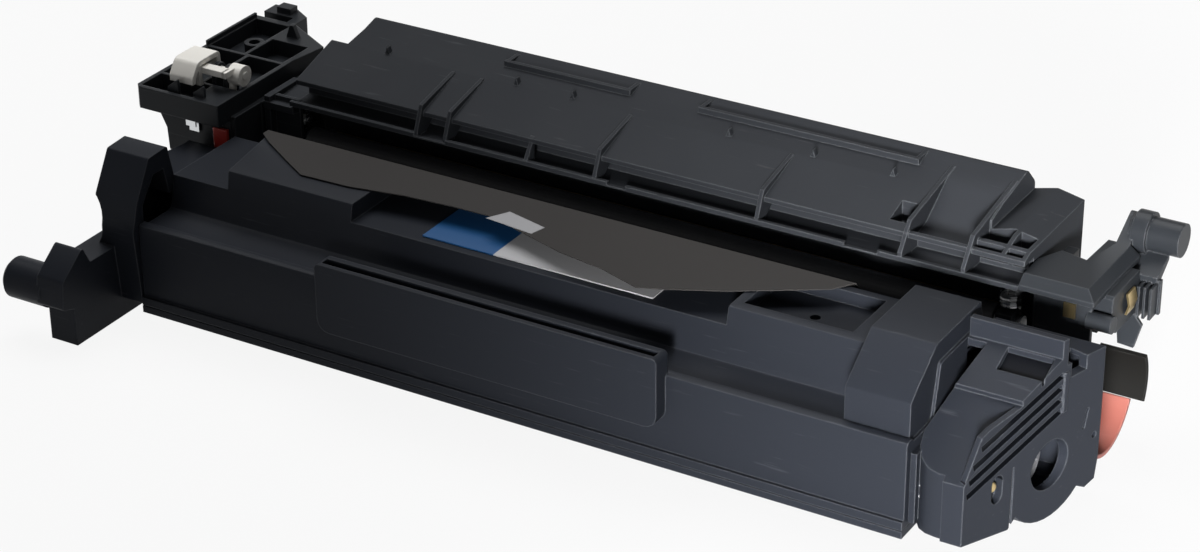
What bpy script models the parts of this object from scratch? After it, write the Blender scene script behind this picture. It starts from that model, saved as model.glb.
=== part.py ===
"""Toner cartridge: toner hopper in front, drum unit with its waste box behind, lying flat.

Metres. X runs along the cartridge, -Y is the hopper's front, +Z is up. The origin is the
middle of the outer box, on the surface that the cartridge lies on.
"""
import math

import bmesh
import bpy
from mathutils import Matrix, Vector

GAP = 0.0003
WALL = 0.002
NIP_GAP = 0.0003
RUNNING_GAP = 0.00025

HOPPER_LEFT = -0.128
HOPPER_RIGHT = 0.128
PANEL_Y = -0.046
FLANGE_Z = 0.0064
FLANGE_HEIGHT = 0.0026
FLANGE_DEPTH = 0.0012
RIDGE_Z = 0.033
RIDGE_WIDTH = 0.003
CHANNEL_DROP = 0.0011
BLOCK_FRONT_Y = -0.0265
BLOCK_LEAN = 0.0035
BLOCK_TOP_Z = 0.048
BLOCK_REAR_Y = 0.0005
HOPPER_BACK_Y = 0.009
LEDGE_Z = 0.0278
LEDGE_FRONT_Y = -0.001
BASE_BOTTOM_Z = 0.0039

BUMP_LEFT = 0.1075
BUMP_TOP_Z = 0.054
BUMP_FRONT_Y = -0.0425
BUMP_BROW_Z = 0.043

GRIP_LEFT = -0.0595
GRIP_RIGHT = 0.0545
GRIP_BOTTOM_Z = 0.018
GRIP_TOP_Z = 0.040
GRIP_DEPTH = 0.005
GRIP_THICKNESS = 0.0065

RECESS_LEFT = -0.0625
RECESS_RIGHT = 0.0635
RECESS_DEPTH = 0.0055
POCKET_RIGHT = 0.1
LABEL_THICKNESS = 0.0004

END_COVER_LEFT = -0.144
ARM_LEFT = -0.1465
ARM_THICKNESS = 0.010
FOOT_FRONT_Y = -0.0685
FOOT_REAR_Y = -0.037
FOOT_HEIGHT = 0.0125
PIN_RADIUS = 0.0065
PIN_LENGTH = 0.016
PIN_Y = -0.067
PIN_Z = 0.017

DRUM_CENTRE_X = 0.0025
DRUM_Y = 0.0285
DRUM_Z = 0.017
DRUM_RADIUS = 0.012
DRUM_LENGTH = 0.246
DRUM_TUBE_WALL = 0.001
DRUM_FLANGE_WIDTH = 0.0025
DRUM_SHAFT_RADIUS = 0.004
CHARGE_RADIUS = 0.0047
CHARGE_SHAFT_RADIUS = 0.003
CHARGE_LENGTH = 0.236
CHARGE_Y = 0.027
CHARGE_Z = DRUM_Z + math.sqrt((DRUM_RADIUS + CHARGE_RADIUS + NIP_GAP) ** 2 - (DRUM_Y - CHARGE_Y) ** 2)
CHARGE_BLOCK_SIZE = 0.0095

SLEEVE_RADIUS = 0.0062
SLEEVE_LENGTH = 0.232
SLEEVE_WALL = 0.0008
SLEEVE_Z = 0.0165
SLEEVE_SHAFT_RADIUS = 0.003
SLEEVE_Y = DRUM_Y - math.sqrt((DRUM_RADIUS + SLEEVE_RADIUS + NIP_GAP) ** 2 - (DRUM_Z - SLEEVE_Z) ** 2)
MAGNET_RADIUS = 0.0048
MAGNET_SHAFT_RADIUS = 0.0018
BUSH_WALL = 0.0012

GEAR_MODULE = 0.001
COUPLING_TEETH = 26
SLEEVE_TEETH = 18
AGITATOR_TEETH = 16
GEAR_WIDTH = 0.005
GEAR_START = 0.0022
BACKLASH = 0.0004
CENTRE_SLACK = 0.0002
COUPLING_Z = 0.017
COUPLING_SHAFT_RADIUS = 0.004
COUPLING_HUB_RADIUS = 0.0062
COUPLING_REACH = 0.0215
PLUG_RADIUS = 0.0062
PLUG_Y = -0.0165
PLUG_Z = 0.0185
AGITATOR_RADIUS = 0.0097
AGITATOR_SHAFT_RADIUS = 0.0025

CAP_YAW = math.radians(16)
CAP_CORNER_X = 0.145
CAP_DEPTH = 0.057
CAP_WALL = 0.0022
CAP_FRONT_Y = -0.0465
CAP_LIP_Y = -0.0095
CAP_LIP_Z = 0.054
CAP_HOLE_RADIUS = 0.0075
CAP_ROUND_RADIUS = COUPLING_Z
SLOT_COUNT = 4
SLOT_WIDTH = 0.0011
SLOT_DEPTH = 0.0013
SLOT_RISE = math.radians(17)

FRAME_THICKNESS = 0.0035
FRAME_LOBE = 0.0075
BRACKET_TOP_Z = 0.054
BRACKET_BOTTOM_Z = 0.0466
BRACKET_WALL = 0.0015
BRACKET_FLOOR = 0.002
LEFT_BRACKET_LEFT = -0.1625
LEFT_BRACKET_RIGHT = -0.1283
LEFT_BRACKET_FRONT_Y = -0.0015
LEFT_BRACKET_REAR_Y = 0.0525
BRACKET_TAIL_Y = 0.0735
RIGHT_FRAME_X = 0.1325
RIGHT_BRACKET_RIGHT = 0.1495
RIGHT_BRACKET_FRONT_Y = 0.0135
RIGHT_BRACKET_REAR_Y = 0.0495
BOSS_Y = 0.0655
BOSS_Z = 0.0565
BOSS_RADIUS = 0.0055
BOSS_END_X = 0.1625

TANK_LEFT = -0.1175
TANK_RIGHT = 0.1305
LIP_Y = 0.0185
LIP_Z = 0.053
LIP_HEIGHT = 0.0042
LIP_THICKNESS = 0.0013
PLATE_BACK_Y = 0.052
PLATE_BACK_Z = 0.0632
TANK_TOP_Z = 0.066
TANK_REAR_Y = 0.0645
TANK_WALL = 0.0025
BAY_LEFT = 0.0987
BAY_WALL_X = 0.1165
BAY_TOP_Z = 0.0605
BAY_DROP = 0.005
RIB = 0.0013

SHIELD_RADIUS = DRUM_Z
SHIELD_THICKNESS = 0.0013
SHIELD_LEFT = -0.126
SHIELD_RIGHT = 0.157
SHIELD_START = 218
SHIELD_END = 352

SHEET_THICKNESS = 0.0003
SHEET_LEFT = -0.1135
SHEET_RIGHT = 0.0835

LEVER_Y = 0.015
LEVER_Z = 0.0575
LEVER_LEFT = -0.1505
LEVER_RIGHT = -0.1335
LEVER_PIN_RADIUS = 0.0013
LEVER_PADDLE_WIDTH = 0.0042
LEVER_HALF_LENGTH = 0.013
LEVER_THICKNESS = 0.0013
LUG_THICKNESS = 0.0016
SKIRT_Y = 0.0048
SKIRT_BOTTOM_Z = 0.031
TOWER_RIGHT = 0.155
FILM_X = 0.1535
FILM_THICKNESS = 0.0004
SCREW_ALONG = 0.0138
SCREW_Z = 0.0184
SCREW_HEAD_RADIUS = 0.0015
SCREW_SHANK_RADIUS = 0.0008
SCREW_SINK = 0.0026
SPRING_RADIUS = 0.0028
SPRING_WIRE = 0.0005
SPRING_TURNS = 4

BLADE_THICKNESS = 0.0012
STRIP_THICKNESS = 0.0016


def plain_material(name, colour, roughness, metallic=0.0):
    material = bpy.data.materials.new(name)
    material.use_nodes = True
    shader = material.node_tree.nodes["Principled BSDF"]
    shader.inputs["Base Color"].default_value = (*colour, 1.0)
    shader.inputs["Roughness"].default_value = roughness
    shader.inputs["Metallic"].default_value = metallic
    return material


def collection_named(name, hidden=False):
    collection = bpy.data.collections.new(name)
    bpy.context.scene.collection.children.link(collection)
    collection.hide_render = hidden
    return collection


for thing in list(bpy.data.objects):
    bpy.data.objects.remove(thing, do_unlink=True)

PARTS = collection_named("toner_cartridge")
CUTTERS = collection_named("cutters", hidden=True)

BLACK_PLASTIC = (0.045, 0.048, 0.062)
DARK_PLASTIC = (0.022, 0.023, 0.026)
STEEL = (0.60, 0.61, 0.62)
BRASS = (0.62, 0.45, 0.18)


def link(obj, material=None):
    PARTS.objects.link(obj)
    if material:
        obj.data.materials.append(material)
    return obj


# Outlines

def arc(centre, radius, start, end, steps=8):
    """Points on a circle from start to end, in degrees."""
    points = []
    for step in range(steps + 1):
        angle = math.radians(start + (end - start) * step / steps)
        points.append((centre[0] + radius * math.cos(angle), centre[1] + radius * math.sin(angle)))
    return points


def rounded(outline, steps=4):
    """An outline whose corners with a third number are filleted to that radius."""
    points = []
    for index, corner in enumerate(outline):
        if len(corner) == 2:
            points.append(corner)
            continue
        here = Vector(corner[:2])
        before = (Vector(outline[index - 1][:2]) - here).normalized()
        after = (Vector(outline[(index + 1) % len(outline)][:2]) - here).normalized()
        half_angle = before.angle(after) / 2
        reach = corner[2] / math.tan(half_angle)
        middle = here + (before + after).normalized() * (corner[2] / math.sin(half_angle))
        first = here + before * reach - middle
        turn = first.angle_signed(here + after * reach - middle)
        for step in range(steps + 1):
            point = middle + Matrix.Rotation(-turn * step / steps, 2) @ first
            points.append((point.x, point.y))
    return points


# Solids

AXES = {
    "X": Matrix(((0, 0, 1), (1, 0, 0), (0, 1, 0))),
    "Y": Matrix(((1, 0, 0), (0, 0, -1), (0, 1, 0))),
    "Z": Matrix.Identity(3),
}


def mesh_from(obj, name):
    """The evaluated mesh of an object, in world space and with its caps welded."""
    graph = bpy.context.evaluated_depsgraph_get()
    mesh = bpy.data.meshes.new_from_object(obj.evaluated_get(graph))
    mesh.transform(obj.matrix_world)
    work = bmesh.new()
    work.from_mesh(mesh)
    bmesh.ops.remove_doubles(work, verts=work.verts, dist=1e-7)
    work.to_mesh(mesh)
    work.free()
    mesh.name = name
    return mesh


def settled(obj, name):
    """A plain mesh object in the place of a curve or of an object with modifiers."""
    bpy.context.view_layer.update()
    mesh = mesh_from(obj, name)
    bpy.data.objects.remove(obj, do_unlink=True)
    return link(bpy.data.objects.new(name, mesh))


def prism(name, outline, low, high, axis="X"):
    """A flat outline pushed along an axis, as (y, z), (x, z) or (x, y) points."""
    curve = bpy.data.curves.new(name, "CURVE")
    curve.dimensions = "2D"
    curve.fill_mode = "BOTH"
    curve.extrude = (high - low) / 2
    spline = curve.splines.new("POLY")
    spline.points.add(len(outline) - 1)
    for point, (u, v) in zip(spline.points, outline):
        point.co = (u, v, 0, 1)
    spline.use_cyclic_u = True
    obj = link(bpy.data.objects.new(name, curve))
    middle = Vector([(low + high) / 2 if letter == axis else 0 for letter in "XYZ"])
    obj.matrix_world = Matrix.Translation(middle) @ AXES[axis].to_4x4()
    return settled(obj, name)


def box(name, low, high):
    work = bmesh.new()
    bmesh.ops.create_cube(work, size=1.0)
    size = [top - bottom for bottom, top in zip(low, high)]
    middle = [(top + bottom) / 2 for bottom, top in zip(low, high)]
    bmesh.ops.scale(work, vec=size, verts=work.verts)
    bmesh.ops.translate(work, vec=middle, verts=work.verts)
    mesh = bpy.data.meshes.new(name)
    work.to_mesh(mesh)
    work.free()
    return link(bpy.data.objects.new(name, mesh))


def rod(name, radius, low, high, centre, axis="X", sides=32):
    """A cylinder along an axis. Its centre is given by the two other coordinates."""
    work = bmesh.new()
    bmesh.ops.create_cone(
        work, cap_ends=True, segments=sides, radius1=radius, radius2=radius, depth=high - low
    )
    bmesh.ops.transform(work, matrix=AXES[axis].to_4x4(), verts=work.verts)
    others = [letter for letter in "XYZ" if letter != axis]
    place = dict(zip(others, centre))
    place[axis] = (low + high) / 2
    bmesh.ops.translate(work, vec=[place[letter] for letter in "XYZ"], verts=work.verts)
    mesh = bpy.data.meshes.new(name)
    work.to_mesh(mesh)
    work.free()
    return link(bpy.data.objects.new(name, mesh))


def turned(name, profile, centre, steps=32):
    """A shape turned about an axis along X, from (x, radius) points, left to right."""
    mesh = bpy.data.meshes.new(name)
    points = [(radius, 0, x) for x, radius in reversed(profile)]
    mesh.from_pydata(points, [(i, i + 1) for i in range(len(points) - 1)], [])
    obj = link(bpy.data.objects.new(name, mesh))
    screw = obj.modifiers.new("turn", "SCREW")
    screw.axis = "Z"
    screw.steps = steps
    screw.render_steps = steps
    screw.use_merge_vertices = True
    screw.merge_threshold = 0.00001
    obj.matrix_world = Matrix.Translation((0, *centre)) @ AXES["X"].to_4x4()
    return settled(obj, name)


def combine(target, others, operation):
    for other in others:
        modifier = target.modifiers.new(operation.lower(), "BOOLEAN")
        modifier.operation = operation
        modifier.object = other
    name = target.name
    target.name = name + "_blank"
    result = settled(target, name)
    for other in others:
        bpy.data.objects.remove(other, do_unlink=True)
    return result


def cut(target, *cutters):
    return combine(target, cutters, "DIFFERENCE")


def join(target, *others):
    return combine(target, others, "UNION")


def finish(obj, material, origin=None):
    """Gives a piece its material, its origin and smooth shading over small angles."""
    if origin is not None:
        obj.data.transform(Matrix.Translation(-Vector(origin)))
        obj.location = origin
    obj.data.materials.clear()
    obj.data.materials.append(material)
    obj.data.shade_smooth()
    obj.data.set_sharp_from_angle(angle=math.radians(35))
    return obj


# Places that several pieces share

CHANNEL_Z = RIDGE_Z - CHANNEL_DROP
COUPLING_Y = SLEEVE_Y - math.sqrt(
    (GEAR_MODULE * (COUPLING_TEETH + SLEEVE_TEETH) / 2 + CENTRE_SLACK) ** 2 - (COUPLING_Z - SLEEVE_Z) ** 2
)
AGITATOR_Y = COUPLING_Y - GEAR_MODULE * (COUPLING_TEETH + AGITATOR_TEETH) / 2 - CENTRE_SLACK
AGITATOR_Z = COUPLING_Z
SLEEVE_LEFT = DRUM_CENTRE_X - SLEEVE_LENGTH / 2
SLEEVE_RIGHT = DRUM_CENTRE_X + SLEEVE_LENGTH / 2
DRUM_LEFT = DRUM_CENTRE_X - DRUM_LENGTH / 2
DRUM_RIGHT = DRUM_CENTRE_X + DRUM_LENGTH / 2
GEAR_LEFT = HOPPER_RIGHT + GEAR_START
GEAR_RIGHT = GEAR_LEFT + GEAR_WIDTH
DRUM = (DRUM_Y, DRUM_Z)
CHARGE = (CHARGE_Y, CHARGE_Z)
SLEEVE = (SLEEVE_Y, SLEEVE_Z)
COUPLING = (COUPLING_Y, COUPLING_Z)
AGITATOR = (AGITATOR_Y, AGITATOR_Z)
BUSH_RADIUS = SLEEVE_SHAFT_RADIUS + RUNNING_GAP + BUSH_WALL
SLEEVE_LOBE = BUSH_RADIUS + GAP + 0.0015
UNDERSIDE_FRONT = (0.0215, 0.0475)
UNDERSIDE_BACK = (0.0375, 0.0420)

PLASTIC = plain_material("black_plastic", BLACK_PLASTIC, 0.45)
DARK = plain_material("dark_plastic", DARK_PLASTIC, 0.5)
METAL = plain_material("steel", STEEL, 0.3, 1.0)
YELLOW_METAL = plain_material("brass", BRASS, 0.35, 1.0)


# Hopper

def hopper_outline():
    return rounded([
        (PANEL_Y - FLANGE_DEPTH, FLANGE_Z),
        (PANEL_Y - FLANGE_DEPTH, FLANGE_Z + FLANGE_HEIGHT),
        (PANEL_Y, FLANGE_Z + FLANGE_HEIGHT),
        (PANEL_Y, RIDGE_Z, 0.0012),
        (PANEL_Y + RIDGE_WIDTH, RIDGE_Z),
        (PANEL_Y + RIDGE_WIDTH + CHANNEL_DROP, CHANNEL_Z),
        (BLOCK_FRONT_Y - BLOCK_LEAN, CHANNEL_Z, 0.002),
        (BLOCK_FRONT_Y, BLOCK_TOP_Z, 0.001),
        (BLOCK_REAR_Y, BLOCK_TOP_Z, 0.001),
        (HOPPER_BACK_Y, LEDGE_Z + WALL + 0.001),
        (HOPPER_BACK_Y, LEDGE_Z),
        (LEDGE_FRONT_Y - 0.001, LEDGE_Z),
        (LEDGE_FRONT_Y - 0.001, FLANGE_Z),
    ], steps=2)


def hopper_cavity(roof_z):
    """The toner space under a roof of the given height, open below and towards the sleeve."""
    slope = (HOPPER_BACK_Y - BLOCK_REAR_Y) / (BLOCK_TOP_Z - LEDGE_Z - WALL)
    inner_back = HOPPER_BACK_Y - 1.4 * WALL
    return [
        (PANEL_Y + WALL, FLANGE_Z - 0.001),
        (PANEL_Y + WALL, CHANNEL_Z - WALL),
        (BLOCK_FRONT_Y - BLOCK_LEAN + WALL, CHANNEL_Z - WALL),
        (BLOCK_FRONT_Y - 0.0005 + WALL - BLOCK_LEAN * (BLOCK_TOP_Z - roof_z) / (BLOCK_TOP_Z - CHANNEL_Z), roof_z),
        (inner_back - slope * (roof_z - LEDGE_Z - WALL), roof_z),
        (inner_back, LEDGE_Z + WALL),
        (LEDGE_FRONT_Y, LEDGE_Z + WALL),
        (LEDGE_FRONT_Y, FLANGE_Z - 0.001),
    ]


def bump_outline():
    return rounded([
        (BUMP_FRONT_Y, CHANNEL_Z - 0.001),
        (BUMP_FRONT_Y, BUMP_BROW_Z, 0.001),
        (BUMP_FRONT_Y + 0.004, BUMP_BROW_Z + 0.003),
        (BLOCK_FRONT_Y - 0.001, BUMP_TOP_Z, 0.0015),
        (BLOCK_REAR_Y, BUMP_TOP_Z, 0.001),
        (BLOCK_REAR_Y + 0.0025, BLOCK_TOP_Z - 0.006),
        (BLOCK_REAR_Y - 0.004, CHANNEL_Z),
    ], steps=2)


def end_wall(name, low, high):
    """A wall that closes the hopper's end and reaches back round the sleeve's shaft."""
    outline = [
        (PANEL_Y + 0.0005, FLANGE_Z),
        (PANEL_Y + 0.0005, CHANNEL_Z - 0.0005),
        (LEDGE_FRONT_Y, CHANNEL_Z - 0.0005),
        (HOPPER_BACK_Y - 0.0005, LEDGE_Z + 0.0005),
        *arc(SLEEVE, SLEEVE_LOBE, 50, -60, 8),
        (LEDGE_FRONT_Y + 0.003, FLANGE_Z),
    ]
    return prism(name, outline, low, high)


def make_hopper_housing():
    housing = prism("hopper_housing", hopper_outline(), HOPPER_LEFT, HOPPER_RIGHT)
    left = prism("left_room", hopper_cavity(BLOCK_TOP_Z - WALL), HOPPER_LEFT + WALL, RECESS_LEFT - WALL)
    middle = prism(
        "middle_room", hopper_cavity(BLOCK_TOP_Z - RECESS_DEPTH - WALL),
        RECESS_LEFT - WALL - 0.001, RECESS_RIGHT + WALL + 0.001,
    )
    right = prism("right_room", hopper_cavity(BLOCK_TOP_Z - 3.0 * WALL), RECESS_RIGHT + WALL, HOPPER_RIGHT - WALL)
    housing = cut(housing, left, middle, right)
    recess = box(
        "recess",
        (RECESS_LEFT, BLOCK_FRONT_Y - 0.004, BLOCK_TOP_Z - RECESS_DEPTH),
        (RECESS_RIGHT, BLOCK_REAR_Y - 0.004, BLOCK_TOP_Z + 0.001),
    )
    pocket = box(
        "pocket",
        (RECESS_RIGHT + 0.003, BLOCK_FRONT_Y + 0.0035, BLOCK_TOP_Z - WALL),
        (POCKET_RIGHT, BLOCK_REAR_Y - 0.003, BLOCK_TOP_Z + 0.001),
    )
    housing = cut(housing, recess, pocket)
    left_wall = end_wall("left_wall", HOPPER_LEFT, HOPPER_LEFT + WALL + 0.0002)
    right_wall = end_wall("right_wall", HOPPER_RIGHT - WALL - 0.0002, HOPPER_RIGHT)
    bump = prism("bump", bump_outline(), BUMP_LEFT, HOPPER_RIGHT - 0.001)
    corner = 0.004
    plate = rounded([
        (GRIP_LEFT, GRIP_BOTTOM_Z, corner),
        (GRIP_RIGHT, GRIP_BOTTOM_Z, corner),
        (GRIP_RIGHT, GRIP_TOP_Z, 0.0015),
        (GRIP_LEFT, GRIP_TOP_Z, 0.0015),
    ])
    grip = prism("grip", plate, PANEL_Y - GRIP_DEPTH, PANEL_Y - GRIP_DEPTH + GRIP_THICKNESS, "Y")
    housing = join(housing, left_wall, right_wall, bump, grip)
    bores = [
        rod("bore", BUSH_RADIUS + GAP, HOPPER_RIGHT - 0.01, HOPPER_RIGHT + 0.01, SLEEVE),
        rod("bore", BUSH_RADIUS + GAP, HOPPER_LEFT - 0.01, HOPPER_LEFT + 0.01, SLEEVE),
        rod("bore", PLUG_RADIUS + GAP, HOPPER_LEFT - 0.01, HOPPER_LEFT + 0.01, (PLUG_Y, PLUG_Z)),
        rod("bore", AGITATOR_SHAFT_RADIUS + RUNNING_GAP, HOPPER_RIGHT - 0.01, HOPPER_RIGHT + 0.01, AGITATOR),
        rod("bore", AGITATOR_SHAFT_RADIUS + RUNNING_GAP, HOPPER_LEFT - 0.01, HOPPER_LEFT + 0.01, AGITATOR),
        rod("bore", COUPLING_SHAFT_RADIUS + RUNNING_GAP, HOPPER_RIGHT - 0.01, HOPPER_RIGHT + 0.01, COUPLING),
    ]
    return finish(cut(housing, *bores), PLASTIC)


def make_hopper_base():
    trough = AGITATOR_RADIUS + 0.0008
    inner_left = HOPPER_LEFT + WALL + GAP
    inner_right = HOPPER_RIGHT - WALL - GAP
    top_z = FLANGE_Z - GAP
    flange = prism("hopper_base", [
        (PANEL_Y - FLANGE_DEPTH, top_z),
        (PANEL_Y - FLANGE_DEPTH, BASE_BOTTOM_Z),
        (LEDGE_FRONT_Y, BASE_BOTTOM_Z),
        (LEDGE_FRONT_Y, top_z),
    ], HOPPER_LEFT, HOPPER_RIGHT)
    tray = prism("tray", [
        (PANEL_Y + WALL + GAP, BASE_BOTTOM_Z + 0.0002),
        (LEDGE_FRONT_Y - 0.004, BASE_BOTTOM_Z + 0.0002),
        (LEDGE_FRONT_Y + 0.003, BASE_BOTTOM_Z + 0.0018),
        (SLEEVE_Y - 0.0035, SLEEVE_Z - SLEEVE_RADIUS - 0.0018),
        (SLEEVE_Y - 0.0042, SLEEVE_Z - SLEEVE_RADIUS - 0.0002),
        (LEDGE_FRONT_Y, AGITATOR_Z - trough + 0.0012),
        *arc(AGITATOR, trough, 270, 205, 6),
        (PANEL_Y + WALL + GAP, AGITATOR_Z - trough * math.sin(math.radians(25))),
    ], inner_left, inner_right)
    return finish(join(flange, tray), PLASTIC)


def make_label():
    label = box(
        "hopper_label",
        (RECESS_LEFT + 0.004, BLOCK_FRONT_Y, BLOCK_TOP_Z - RECESS_DEPTH + 0.0001),
        (RECESS_RIGHT - 0.004, BLOCK_REAR_Y - 0.006, BLOCK_TOP_Z - RECESS_DEPTH + 0.0001 + LABEL_THICKNESS),
    )
    return finish(label, plain_material("label_film", (0.35, 0.40, 0.48), 0.4))


def make_left_end_cover():
    face = HOPPER_LEFT - GAP
    block = prism("left_end_cover", rounded([
        (-0.0465, FLANGE_Z),
        (-0.0485, 0.031),
        (-0.0455, 0.040),
        (-0.0385, 0.052, 0.001),
        (-0.0045, 0.0525),
        (-0.0025, 0.0455),
        (0.0005, 0.0455),
        (SKIRT_Y - 0.0008, LEDGE_Z + 0.0025),
        (HOPPER_BACK_Y, LEDGE_Z),
        *arc(SLEEVE, SLEEVE_LOBE, 50, -60, 8),
        (0.002, FLANGE_Z),
    ]), END_COVER_LEFT, face)
    scoop = rod("scoop", 0.011, -0.060, -0.030, (END_COVER_LEFT - 0.0072, 0.031), "Y")
    shoulder = prism("shoulder", [
        (ARM_LEFT + 0.001, FLANGE_Z + 0.0003),
        (face - 0.0003, FLANGE_Z + 0.0003),
        (face - 0.0003, RIDGE_Z),
        *arc((face - 0.001, RIDGE_Z - 0.011), 0.011, 90, 170, 6),
        (face - 0.0125, 0.0115),
        (ARM_LEFT + 0.001, 0.0095),
    ], PANEL_Y - 0.0002, PANEL_Y + 0.012, "Y")
    arm = prism("arm", rounded([
        (FOOT_FRONT_Y, 0),
        (FOOT_FRONT_Y, FOOT_HEIGHT),
        (PIN_Y - PIN_RADIUS, PIN_Z - 0.003, 0.001),
        (PIN_Y - PIN_RADIUS + 0.001, PIN_Z + 0.006, 0.002),
        (-0.0625, 0.0305, 0.001),
        (-0.0595, 0.0245, 0.001),
        (-0.040, 0.0245),
        (-0.034, FLANGE_Z + 0.001),
        (FOOT_REAR_Y, 0),
    ], steps=3), ARM_LEFT, ARM_LEFT + ARM_THICKNESS)
    pin = turned("pin", [
        (ARM_LEFT - PIN_LENGTH + 0.002, 0),
        (ARM_LEFT - PIN_LENGTH + 0.002, PIN_RADIUS - 0.0012),
        (ARM_LEFT - PIN_LENGTH + 0.0032, PIN_RADIUS),
        (ARM_LEFT + 0.001, PIN_RADIUS),
        (ARM_LEFT + 0.001, 0),
    ], (PIN_Y, PIN_Z))
    cover = join(cut(block, scoop), shoulder, arm, pin)
    hollow = prism("hollow", [
        (-0.043, FLANGE_Z + WALL),
        (-0.043, 0.038),
        (-0.036, 0.048),
        (-0.008, 0.048),
        (-0.005, 0.040),
        (-0.003, 0.010),
        (-0.006, FLANGE_Z + WALL),
    ], END_COVER_LEFT + 0.006, face + 0.001)
    magnet_hole = rod("magnet_hole", MAGNET_SHAFT_RADIUS + GAP, END_COVER_LEFT + 0.004, face + 0.001, SLEEVE)
    return finish(cut(cover, hollow, magnet_hole), PLASTIC)


# Right end cap with the developer drive behind it

def cap_blank(name, inset):
    """The cap's outer form, or its inner one, where its side view meets its plan."""
    along = Vector((math.sin(CAP_YAW), math.cos(CAP_YAW)))
    corner = Vector((CAP_CORNER_X - inset, CAP_FRONT_Y + inset))
    far = corner + along * (CAP_DEPTH - 2 * inset)
    left = HOPPER_RIGHT + GAP - (0.001 if inset else 0)
    rear = far.y
    plan = prism(name + "_plan", [
        (left, CAP_FRONT_Y + inset),
        tuple(corner),
        tuple(far),
        (left, rear),
    ], -0.001, CAP_LIP_Z + 0.001, "Z")
    lip = [] if inset else [
        (CAP_LIP_Y, CAP_LIP_Z),
        (CAP_LIP_Y + CAP_WALL, CAP_LIP_Z),
        (CAP_LIP_Y + CAP_WALL, 0.046),
    ]
    side = prism(name, [
        (CAP_FRONT_Y + inset, FLANGE_Z + inset),
        (CAP_FRONT_Y + inset, 0.025 - inset / 2),
        (-0.025, 0.041 - inset),
        (CAP_LIP_Y, 0.0485 - inset),
        *lip,
        (rear, 0.0455 - inset),
        (rear, 0.006 + inset),
        (rear - 0.004, 0.004 + inset),
        *arc(COUPLING, CAP_ROUND_RADIUS - inset, -45, -140, 10),
        (-0.028, FLANGE_Z - 0.003 + inset),
    ], left, 0.170)
    return combine(side, [plan], "INTERSECT")


def on_cap_face(obj, along, height):
    """Moves a piece from the YZ plane to the cap's yawed face."""
    corner = Vector((CAP_CORNER_X, CAP_FRONT_Y, height))
    way = Vector((math.sin(CAP_YAW), math.cos(CAP_YAW), 0))
    obj.data.transform(Matrix.Translation(corner + way * along) @ Matrix.Rotation(-CAP_YAW, 4, "Z"))
    return obj


def slot_cutter(index):
    """A straight groove in the yawed face, rising towards the rear."""
    start = 0.0018 + 0.0029 * index
    height = 0.0215 + 0.0042 * index
    length = (0.038 - start) / math.cos(SLOT_RISE)
    slot = box(
        "slot",
        (-SLOT_DEPTH, 0, -SLOT_WIDTH / 2),
        (0.002, length, SLOT_WIDTH / 2),
    )
    slot.data.transform(Matrix.Rotation(SLOT_RISE, 4, "X"))
    return on_cap_face(slot, start, height)


def make_right_end_cap():
    cap = cut(cap_blank("right_end_cap", 0), cap_blank("cap_room", CAP_WALL))
    hole = rod("hole", CAP_HOLE_RADIUS, 0.140, 0.170, COUPLING)
    gear_top = GEAR_MODULE * (SLEEVE_TEETH / 2 + 1) + 0.001
    window = box(
        "window",
        (HOPPER_RIGHT - 0.001, SLEEVE_Y - 0.006, SLEEVE_Z - gear_top),
        (GEAR_RIGHT + 0.004, SLEEVE_Y + 0.006, SLEEVE_Z + gear_top),
    )
    cap = cut(cap, hole, window, *[slot_cutter(index) for index in range(SLOT_COUNT)])
    boss = on_cap_face(rod("boss", 0.0038, -0.0085, -0.0005, (0, 0), sides=20), SCREW_ALONG, SCREW_Z)
    oval = on_cap_face(prism("oval", [
        *arc((0, 0.0015), 0.0019, 0, 180),
        *arc((0, -0.0015), 0.0019, 180, 360),
    ], -SCREW_SINK, 0.001), SCREW_ALONG, SCREW_Z)
    shank_hole = rod("shank_hole", SCREW_SHANK_RADIUS + GAP, -0.0075, 0, (0, 0), sides=16)
    cap = cut(join(cap, boss), oval, on_cap_face(shank_hole, SCREW_ALONG, SCREW_Z))
    return finish(cap, PLASTIC)


def make_cap_screw():
    screw = turned("cap_screw", [
        (-0.0072, 0),
        (-0.0072, SCREW_SHANK_RADIUS * 0.6),
        (-0.0062, SCREW_SHANK_RADIUS),
        (GAP - SCREW_SINK, SCREW_SHANK_RADIUS),
        (GAP - SCREW_SINK, SCREW_HEAD_RADIUS),
        (GAP - SCREW_SINK + 0.0008, SCREW_HEAD_RADIUS),
        (GAP - SCREW_SINK + 0.0011, SCREW_HEAD_RADIUS * 0.7),
        (GAP - SCREW_SINK + 0.0011, 0),
    ], (0, 0), steps=16)
    return finish(on_cap_face(screw, SCREW_ALONG, SCREW_Z), YELLOW_METAL)


def gear_outline(teeth, centre, turn):
    """A spur gear's outline with involute flanks, thinned by the backlash."""
    pitch = GEAR_MODULE * teeth / 2
    base = pitch * math.cos(math.radians(20))
    root = pitch - 1.2 * GEAR_MODULE
    tip = pitch + 0.95 * GEAR_MODULE
    half = math.pi / (2 * teeth) - BACKLASH / (4 * pitch) * 2
    involute = math.tan(math.radians(20)) - math.radians(20)
    flank = []
    for step in range(3):
        radius = max(base, root) + (tip - max(base, root)) * step / 2
        pressure = math.acos(min(1, base / radius))
        flank.append((radius, half + involute - (math.tan(pressure) - pressure)))
    if root < base:
        flank.insert(0, (root, flank[0][1]))
    points = []
    for tooth in range(teeth):
        middle = turn + 2 * math.pi * tooth / teeth
        for radius, angle in flank:
            points.append((radius, middle - angle))
        for radius, angle in reversed(flank):
            points.append((radius, middle + angle))
    return [(centre[0] + r * math.cos(a), centre[1] + r * math.sin(a)) for r, a in points]


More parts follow.
